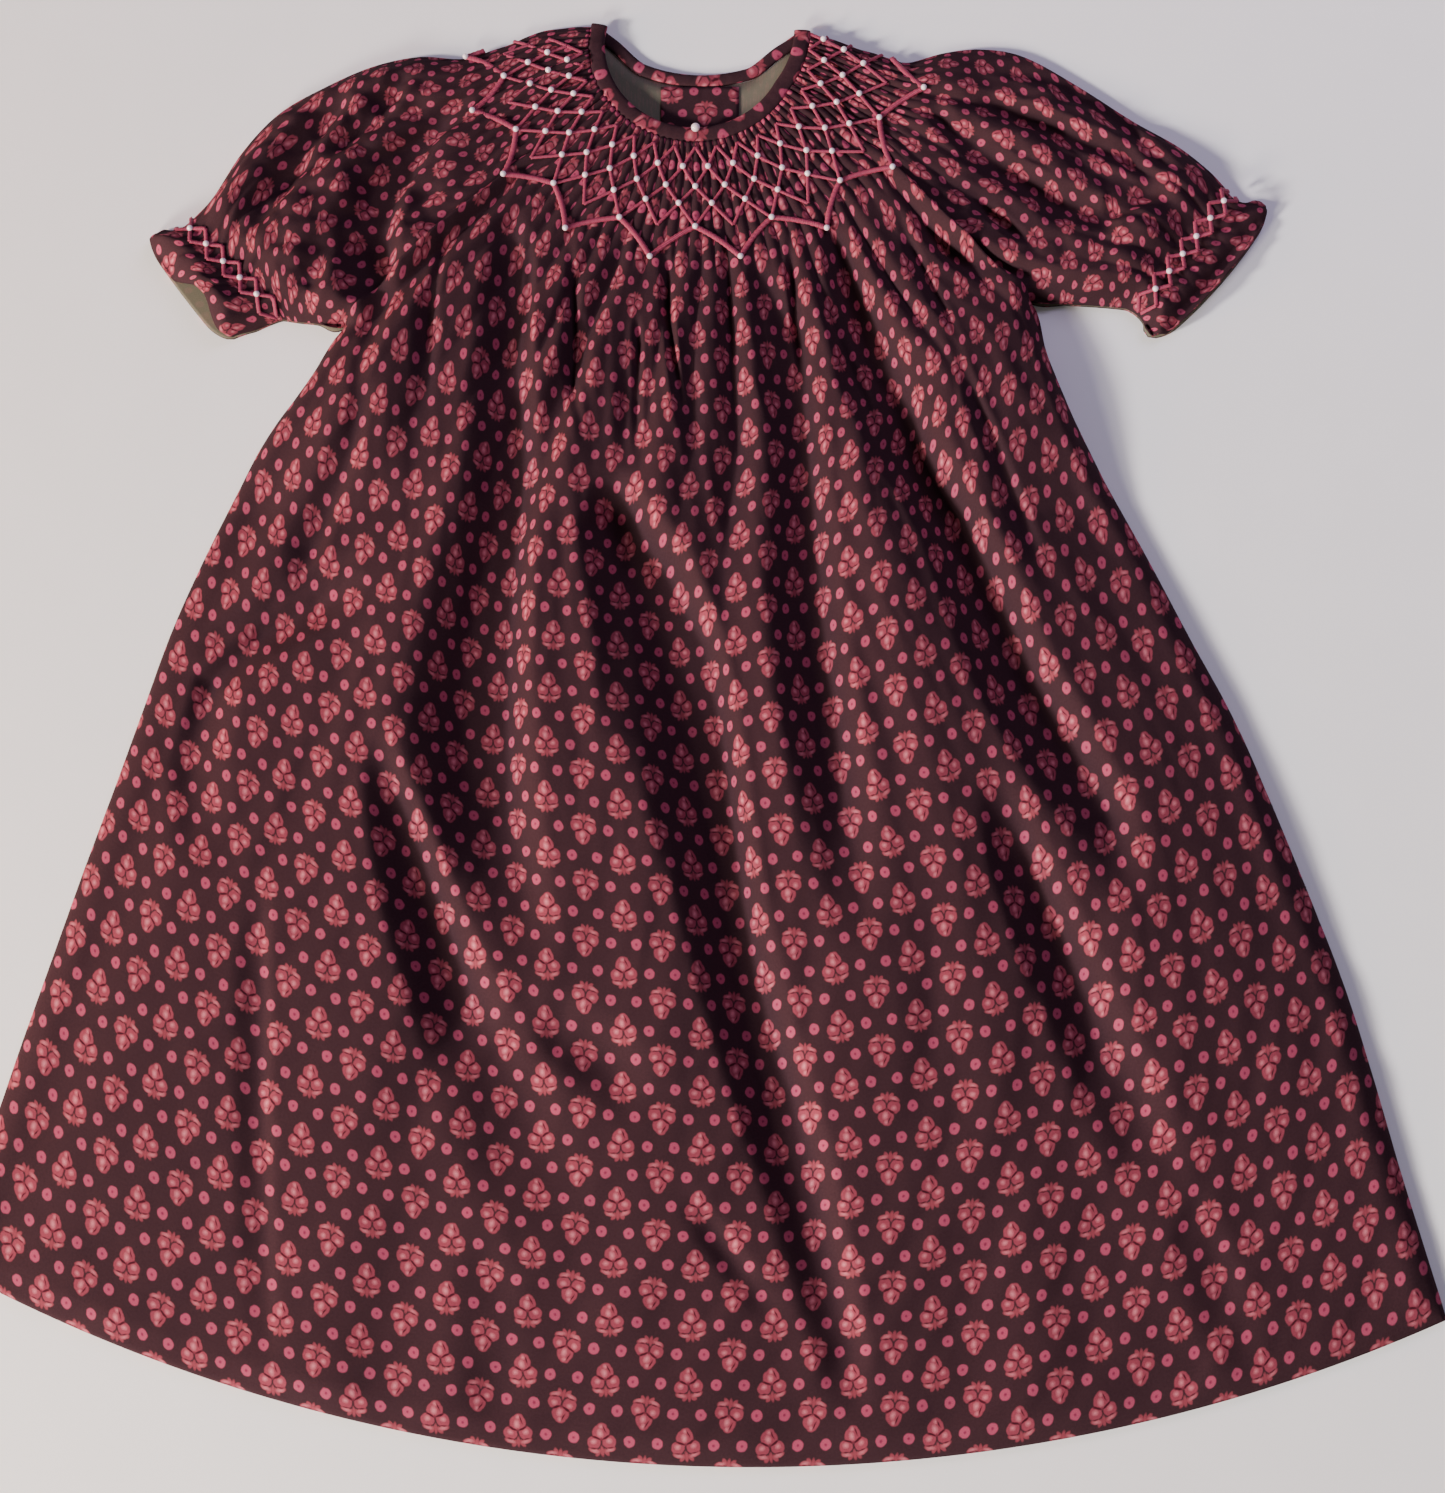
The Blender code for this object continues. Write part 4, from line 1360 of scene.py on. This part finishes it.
def pearl_material():
    """Small glass-coated pearls: pinkish white, glossy."""
    material, tree, shader = surface("bead_pearl", 0.18, 0.6)
    place = node(tree, "ShaderNodeTexCoord").outputs["Object"]
    cover(tree, shader, two_tones(tree, noise(tree, place, 160.0, 1.0).outputs[0], PEARL))
    shader.inputs["Coat Weight"].default_value = 0.6
    shader.inputs["Coat Roughness"].default_value = 0.1
    return material


def floor_material():
    material, tree, shader = surface("pale_paper_floor", 0.9)
    place = node(tree, "ShaderNodeTexCoord").outputs["Object"]
    cover(tree, shader, two_tones(tree, noise(tree, place, 30.0, 3.0).outputs[0], PAPER))
    return material


# Smocking lattice: its knots stand on rings round the neck, at even turns.
LATTICE_TURN = math.radians(11.35)
LATTICE_REACH = 9
# Rings of the lattice: radius at the centre front, half way round and at the sides.
RINGS = [
    # front, half_way, side
    (50.5, 54.5, 55.0),
    (61.0, 64.0, 62.5),
    (71.3, 75.0, 72.0),
    (80.2, 84.5, 81.5),
    (92.0, 97.5, 93.5),
    (109.5, 113.0, 112.0),
]
# The left half is pulled round to the front, most at the shoulder.
LEFT_PULL = math.radians(6.2)
SHOULDER_TURN = math.radians(79.5)
THREAD_WIDTH = 1.65
WAVE_WIDTH = 2.7
BEAD_DIAMETER = 3.0
WAVE_SAG = 1.2
# Threads and beads keep at least this far inside the outline.
THREAD_MARGIN = 0.4
BEAD_MARGIN = 1.2
# Half steps at which the wave has its inner beads and its tips.
WAVE_INNER = range(-16, 17, 4)
WAVE_TIPS = range(-18, 19, 4)


def ring_point(ring, step):
    """Plan point of a lattice knot: ring number and half steps from the centre front."""
    angle = step * LATTICE_TURN / 2
    if angle < 0:
        angle += LEFT_PULL * (abs(angle) / SHOULDER_TURN) ** 3
    front, half_way, at_side = RINGS[ring]
    turn = math.sin(angle) ** 2
    reach = front * (1 - turn) * (1 - 2 * turn) + 4 * half_way * turn * (1 - turn)
    reach += at_side * turn * (2 * turn - 1)
    return np.array([reach * math.sin(angle), NECK_Y - reach * math.cos(angle)])


def lattice():
    """Thread lines and bead places of the yoke, as plan points."""
    fine, wave, beads = [], [], []
    span = 2 * LATTICE_REACH
    for ring in range(4):
        for step in range(-span - 1, span + 2):
            if (step + ring) % 2:
                continue
            for side in (-1, 1):
                fine.append((ring_point(ring, step), ring_point(ring + 1, step + side), 0.0))
    for ring in (1, 2, 3):
        for step in range(-span, span + 1):
            if (step + ring) % 2 == 0:
                beads.append(ring_point(ring, step))
    for step in WAVE_INNER:
        beads.append(ring_point(4, step))
    for step in WAVE_TIPS:
        tip = ring_point(5, step)
        beads.append(tip)
        for side in (-1, 1):
            wave.append((ring_point(4, step + 2 * side), tip, WAVE_SAG))
    return fine, wave, beads


def seat_height(points, edge, rise=PLEAT_RISE):
    """Height of the smocked cloth under plan points, near the tops of its pleats."""
    return upper_height(points[:, 0], points[:, 1], 0.0, edge) + THREAD_SEAT * rise


def tube_faces(base, rings, sides):
    """Faces of a tube with closed ends, its vertices ring by ring from a base index on."""
    faces = []
    for ring in range(rings - 1):
        a = base + ring * sides
        for k in range(sides):
            n = (k + 1) % sides
            faces.append((a + k, a + n, a + sides + n, a + sides + k))
    faces.append(tuple(base + k for k in reversed(range(sides))))
    end = base + (rings - 1) * sides
    faces.append(tuple(end + k for k in range(sides)))
    return faces


def thread_tube(paths, edge, width, lift, sides=6):
    """Verts, faces and UVs of flat round threads on the cloth."""
    verts, faces, uvs = [], [], []
    for start, stop, sag in paths:
        length = np.linalg.norm(stop - start)
        count = max(6, int(length / 0.7))
        t = np.linspace(0, 1, count)
        heading = (stop - start) / length
        normal = np.array([-heading[1], heading[0]])
        centre = (start + stop) / 2 - np.array([0.0, NECK_Y])
        if normal @ centre > 0:
            normal = -normal
        plan = start + (stop - start) * t[:, None] + normal * (sag * 4 * t * (1 - t))[:, None]
        inside_edge = on_cloth(plan, edge, THREAD_MARGIN)
        height = seat_height(plan, edge) + lift
        side = outward(plan)
        swell = width / 2 * (1 + 0.10 * np.sin(2 * math.pi * t * length / 2.4))
        runs = np.split(np.arange(count), np.where(~inside_edge)[0])
        for run in runs:
            run = run[inside_edge[run]] if len(run) else run
            if len(run) < 2:
                continue
            base = len(verts)
            for i in run:
                for k in range(sides):
                    angle = 2 * math.pi * k / sides
                    off = side[i] * math.cos(angle) * swell[i]
                    up = math.sin(angle) * swell[i] * 0.55
                    verts.append((plan[i][0] + off[0], plan[i][1] + off[1], height[i] + up))
                    uvs.append((t[i] * length, k / sides * 4))
            faces += tube_faces(base, len(run), sides)
    return verts, faces, uvs


def in_outline(plan, edge):
    """Whether plan points lie inside the closed outline."""
    x, y = plan[:, 0], plan[:, 1]
    inside_mask = np.zeros(len(plan), bool)
    closed = np.concatenate([edge, edge[:1]])
    for a, b in zip(closed[:-1], closed[1:]):
        crosses = (a[1] > y) != (b[1] > y)
        at = a[0] + (y - a[1]) / (b[1] - a[1] + 1e-12) * (b[0] - a[0])
        inside_mask ^= crosses & (x < at)
    return inside_mask


def on_cloth(plan, edge, margin):
    """Whether plan points lie inside the outline by more than a margin."""
    return in_outline(plan, edge) & (edge_distance(plan[:, 0], plan[:, 1], edge) > margin)


def beads_object(name, places, diameter, material):
    """Beads on points by a node tree: a small sphere on each, made real."""
    geometry = ("Geometry", "Geometry")
    tree, start, stop = new_tree(name + "_nodes", "GeometryNodeTree", [geometry], [geometry])
    radius = diameter / 2 * MM
    ball = node(tree, "GeometryNodeMeshUVSphere", {"Segments": 12, "Rings": 8, "Radius": radius})
    smooth = node(tree, "GeometryNodeSetShadeSmooth", {"Geometry": ball.outputs[0]})
    ends = {"Points": start.outputs[0], "Instance": smooth.outputs[0]}
    spread = node(tree, "GeometryNodeInstanceOnPoints", ends)
    real = node(tree, "GeometryNodeRealizeInstances", {0: spread.outputs[0]})
    finish = {"Geometry": real.outputs[0], "Material": material}
    painted = node(tree, "GeometryNodeSetMaterial", finish)
    tree.links.new(painted.outputs[0], stop.inputs[0])
    mesh = bpy.data.meshes.new(name + "_points")
    mesh.from_pydata([tuple(p) for p in place_points(places)], [], [])
    holder = bpy.data.objects.new(name + "_points", mesh)
    bpy.context.scene.collection.objects.link(holder)
    modifier = holder.modifiers.new("beads", "NODES")
    modifier.node_group = tree
    graph = bpy.context.evaluated_depsgraph_get()
    graph.update()
    made = bpy.data.meshes.new_from_object(holder.evaluated_get(graph))
    made.name = name
    bpy.data.objects.remove(holder, do_unlink=True)
    piece = bpy.data.objects.new(name, made)
    if not made.materials:
        made.materials.append(material)
    bpy.context.scene.collection.objects.link(piece)
    return piece


# Smocked cuffs: the band's two ends in plan and the number of diamonds.
CUFFS = {
    "left_of_photo": ((-249, 259), (-199, 208), 6),
    "right_of_photo": ((259, 273), (211, 210), 7),
}
DIAMOND_HALF = 4.9


def cuff_lines(start, stop, count):
    """Two crossing zigzags of a cuff and its bead places."""
    start, stop = np.array(start, float), np.array(stop, float)
    heading = (stop - start) / np.linalg.norm(stop - start)
    out = np.array([heading[1], -heading[0]])
    lines, beads = [], []
    for k in range(count):
        a = start + (stop - start) * (k / count)
        b = start + (stop - start) * ((k + 1) / count)
        middle = (a + b) / 2
        for side in (-1, 1):
            corner = middle + out * side * DIAMOND_HALF
            lines.append((a, corner, 0.0))
            lines.append((corner, b, 0.0))
        if k:
            beads.append(a)
    return lines, beads


def band_object(name, path, width, height, flat_bottom, material):
    """A soft print band along a path of x, y, z and outward direction."""
    turns = np.linspace(0, 2 * math.pi, 17)[:-1]
    verts, uvs = [], []
    travelled = 0.0
    for i, (x, y, z, out_x, out_y) in enumerate(path):
        if i:
            travelled += math.dist((x, y), path[i - 1][:2])
        pucker = 1 + 0.05 * math.sin(travelled / 1.9) + 0.03 * math.sin(travelled / 0.83 + 1)
        for turn in turns:
            across = 0.5 * width * math.copysign(abs(math.cos(turn)) ** 0.7, math.cos(turn))
            up = 0.5 * height * math.copysign(abs(math.sin(turn)) ** 0.8, math.sin(turn)) * pucker
            if flat_bottom and up < 0:
                up = max(up * 1.4, -height / 2)
            verts.append((x + out_x * across, y + out_y * across, z + up))
            around = turn / (2 * math.pi) * 2 * (width + height) * 0.8
            slant = 0.7071
            uvs.append(((travelled + around) * slant + 9, (around - travelled) * slant + 4))
    faces = tube_faces(0, len(path), len(turns))
    return new_object(name, place_points(verts), faces, uvs, None, [material])


def front_band_path(edge, count):
    points = neck_edge(count)
    out = outward(points)
    middle = points - out * (BIND_WIDTH / 2 + 0.05)
    beyond = points + out * 2
    rim = upper_height(beyond[:, 0], beyond[:, 1], 0.0, edge) - BAND_SINK
    height = np.maximum(rim, BIND_HEIGHT * 1.5 + LAYER_GAP)
    kernel = np.ones(9) / 9
    padded = np.concatenate([np.full(4, height[0]), height, np.full(4, height[-1])])
    height = np.convolve(padded, kernel, "valid")
    return [(m[0], m[1], h, o[0], o[1]) for m, h, o in zip(middle, height, out)]


def peak_lift(x):
    """How far the back neck edge climbs towards the two neck peaks."""
    return 5.0 * smooth_step((np.abs(x) - 27) / 17)


def back_band_path(count):
    shares = np.linspace(-0.96, 0.96, count)
    points = arc_row(BACK_TOP[0], shares)
    points[:, 1] += peak_lift(points[:, 0])
    out = outward(points)
    middle = points - out * (BACK_BIND_WIDTH / 2 + LAYER_GAP)
    return [(m[0], m[1], BIND_HEIGHT / 2, o[0], o[1]) for m, o in zip(middle, out)]


def make_front(edge, cotton, wrong):
    outer, uv = front_surface(edge)
    inner = outer[::2, ::2].copy()
    inner[..., 2] = np.maximum(lowest_near(outer[..., 2])[::2, ::2] - 0.9, WALL + 0.15)
    piece = shell_object("front_cloth", outer, inner, uv, [cotton, wrong])
    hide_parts("dress_front")
    return piece


def make_back(cotton, wrong):
    rows = section_rows(BACK_TOP + SECTIONS, BACK_ROWS + 1)
    columns = 60
    upper = []
    for row in rows:
        half = (row[3] - row[1]) / 2
        plan = arc_row(row, np.linspace(-1, 1, columns + 1) * (1 - SEAM_GAP / half))
        near_top = clamp01(1 - (BACK_TOP[0][0] - row[0]) / 15)
        plan[:, 1] += near_top * peak_lift(plan[:, 0])
        upper.append(np.stack([plan[:, 0], plan[:, 1], np.full(columns + 1, WALL)], axis=-1))
    upper = np.array(upper)
    lower = upper.copy()
    lower[..., 2] = 0.0
    width = 690.0
    across = np.linspace(-0.5, 0.5, columns + 1)[None, :] * width + 0 * upper[..., 0]
    along = print_along(upper)[:, None] + 0 * across
    uv = np.stack([across, -along], axis=-1)
    piece = shell_object("back_cloth", upper, lower, uv, [wrong, cotton], edge_slot=1)
    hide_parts("dress_back")
    return piece


def make_placket(cotton):
    low = WALL + 0.1
    rows = np.linspace(PLACKET_Y[0], PLACKET_Y[1], 41)
    columns = np.linspace(PLACKET_X[0], PLACKET_X[1], 25)
    x, y = np.meshgrid(columns, rows)
    rim = np.minimum(np.minimum(x - PLACKET_X[0], PLACKET_X[1] - x), 3.0) / 3.0
    fold = 0.5 * smooth_step(1 - np.abs(x - 3.5) / 1.6)
    z = low + 0.5 + 0.55 * smooth_step(rim) - fold * 0.5
    outer = np.stack([x, y, z], axis=-1)
    inner = np.stack([x, y, np.full_like(x, low)], axis=-1)
    uv = 1.12 * np.stack([x + 12, y - 4], axis=-1)
    piece = shell_object("placket_cloth", outer, inner, uv, [cotton, cotton])
    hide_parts("back_placket")
    return piece


def new_light(name, kind, place, towards, power, colour):
    """A lamp at a place, pointing along a direction; gives back its settings."""
    data = bpy.data.lights.new(name, kind)
    data.energy = power
    data.color = colour
    lamp = bpy.data.objects.new(name, data)
    bpy.context.scene.collection.objects.link(lamp)
    lamp.location = place
    lamp.rotation_mode = "QUATERNION"
    lamp.rotation_quaternion = Vector(towards).to_track_quat("-Z", "Y")
    return data


def sun_light(name, turn, height, spread, power, colour):
    """Even light from a turn round +Z and a height above the floor, in degrees."""
    around, up = math.radians(turn), math.radians(height)
    level = math.cos(up)
    source = Vector((math.cos(around) * level, math.sin(around) * level, math.sin(up)))
    data = new_light(name, "SUN", source * 2.0, -source, power, colour)
    data.angle = math.radians(spread)


def area_light(name, place, aim, size, power, colour):
    data = new_light(name, "AREA", place, np.array(aim) - np.array(place), power, colour)
    data.shape = "RECTANGLE"
    data.size, data.size_y = size


def make_camera():
    data = bpy.data.cameras.new("photo_camera")
    data.sensor_fit = "HORIZONTAL"
    data.sensor_width = SENSOR
    data.lens = FOCAL_PX / PHOTO_SIZE[0] * SENSOR
    camera = bpy.data.objects.new("photo_camera", data)
    bpy.context.scene.collection.objects.link(camera)
    back = -math.sin(CAMERA_TILT) * CAMERA_DISTANCE
    up = math.cos(CAMERA_TILT) * CAMERA_DISTANCE
    camera.location = (AIM[0], AIM[1] + back, AIM[2] + up)
    camera.rotation_euler = (CAMERA_TILT, 0.0, 0.0)
    bpy.context.scene.camera = camera
    return camera


WORLD_STRENGTH = 0.12
# The window: name, turn and height in degrees, spread, strength and colour.
WINDOW = ("window_left", 205.0, 23.0, 8.0, 5.0, (1.0, 0.94, 0.93))
# Soft lamps: name, place, aim and size in metres, watts and colour.
LAMPS = [
    ("window_front", (-1.05, -1.15, 0.78), (0.0, -0.12, 0.0), (0.4, 0.4), 34.0, (1.0, 0.94, 0.85)),
    ("warm_lamp", (-1.5, -0.3, 0.30), (0.0, 0.0, 0.0), (0.5, 0.5), 22.0, (1.0, 0.46, 0.20)),
    ("sky_right", (0.8, 1.0, 1.05), (0.1, 0.1, 0), (0.8, 0.8), 10.0, (0.70, 0.60, 1.0)),
]


def make_stage():
    floor = new_object("floor", [(-30, -30, 0), (30, -30, 0), (30, 30, 0), (-30, 30, 0)],
                       [(0, 1, 2, 3)], None, None, [floor_material()], False)
    world = bpy.context.scene.world or bpy.data.worlds.new("studio")
    bpy.context.scene.world = world
    world.use_nodes = True
    background = world.node_tree.nodes.get("Background")
    background.inputs["Color"].default_value = (1.0, 0.99, 0.98, 1.0)
    background.inputs["Strength"].default_value = WORLD_STRENGTH
    sun_light(*WINDOW)
    for lamp in LAMPS:
        area_light(*lamp)


# Sleeves: name, table, side, seed, notch in the ruffle, crumple height, tilt and CAD node.
SLEEVES = [
    ("sleeve_cloth_left", SLEEVE_RIGHT_OF_PHOTO, 1, 1.7, 0.0, 1.2, 9.0, "sleeve_left"),
    ("sleeve_cloth_right", SLEEVE_LEFT_OF_PHOTO, -1, 4.1, 7.5, 1.8, 0.0, "sleeve_right"),
]
# How far threads and beads stand off the cloth below them, in mm.
THREAD_LIFT = 0.25
WAVE_LIFT = 0.3
CUFF_THREAD_LIFT = 0.2
YOKE_BEAD_LIFT = 1.1
CUFF_BEAD_LIFT = 1.0
CUFF_THREAD_WIDTH = 1.2 * THREAD_WIDTH


def make_sleeves(edge, cotton, wrong):
    sleeves = []
    for name, table, sign, seed, notch, crumple, tilt, cad in SLEEVES:
        outer, inner, uv = sleeve_surface(table, sign, edge, seed, notch, crumple, tilt)
        piece = shell_object(name, outer, inner, uv, [cotton, wrong])
        if sign > 0:
            piece.data.flip_normals()
        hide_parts(cad)
        sleeves.append(piece)
    return sleeves


def make_bands(edge, cotton):
    path = front_band_path(edge, 221)
    front_band = band_object("neck_band_front", path, BIND_WIDTH, BIND_HEIGHT, False, cotton)
    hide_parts("neck_binding_front")
    path = back_band_path(121)
    back_band = band_object("neck_band_back", path, BACK_BIND_WIDTH, BIND_HEIGHT, True, cotton)
    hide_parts("neck_binding_back")
    return front_band, back_band


def thread_object(name, paths, edge, width, lift, thread):
    verts, faces, uvs = thread_tube(paths, edge, width, lift)
    return new_object(name, place_points(verts), faces, uvs, None, [thread])


def make_smocking(edge, thread, pearl):
    """Threads and pearls of the yoke and cuffs, each given back with a slot name."""
    fine, wave, beads = lattice()
    yoke_thread = thread_object("smocking_thread", fine, edge, THREAD_WIDTH, THREAD_LIFT, thread)
    wave_thread = thread_object("smocking_wave", wave, edge, WAVE_WIDTH, WAVE_LIFT, thread)
    knots = np.array(beads)
    knots = knots[on_cloth(knots, edge, BEAD_MARGIN)]
    heights = seat_height(knots, edge) + YOKE_BEAD_LIFT
    places = np.column_stack([knots, heights])
    cuff_paths = []
    for start, stop, count in CUFFS.values():
        lines, dots = cuff_lines(start, stop, count)
        cuff_paths += lines
        dots = np.array(dots)
        heights = seat_height(dots, edge, CUFF_RISE) + CUFF_BEAD_LIFT
        places = np.concatenate([places, np.column_stack([dots, heights])])
    cuff_thread = thread_object("cuff_thread", cuff_paths, edge, CUFF_THREAD_WIDTH,
                                CUFF_THREAD_LIFT, thread)
    bead_piece = beads_object("smocking_pearls", places, BEAD_DIAMETER, pearl)
    rim = float(upper_height(np.array([0.0]), np.array([BELOW_BAND_Y]), 0.0, edge)[0])
    band_top = rim - BAND_SINK + BIND_HEIGHT / 2
    pearl_height = band_top + PEARL_DIAMETER / 2 - PEARL_SINK
    place = np.array([[0.0, PEARL_Y, pearl_height]])
    neck_pearl = beads_object("neck_bead", place, PEARL_DIAMETER, pearl)
    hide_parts("neck_pearl")
    return [(yoke_thread, "print_cotton"), (wave_thread, "print_cotton"),
            (cuff_thread, "print_cotton"), (bead_piece, "pearl"), (neck_pearl, "pearl")]


def build():
    make_camera()
    edge = outline()
    cotton_nodes = print_group(motif_group())
    cotton = cotton_material(cotton_nodes)
    wrong = wrong_side_material(cotton_nodes)
    thread = thread_material()
    pearl = pearl_material()

    front = make_front(edge, cotton, wrong)
    back = make_back(cotton, wrong)
    sleeves = make_sleeves(edge, cotton, wrong)
    front_band, back_band = make_bands(edge, cotton)
    placket = make_placket(cotton)
    pieces = [front, back, *sleeves, front_band, back_band, placket]
    for piece, slot_name in make_smocking(edge, thread, pearl):
        pieces.append(piece)
    for piece in pieces:
        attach(piece, "root")

    make_stage()


build()
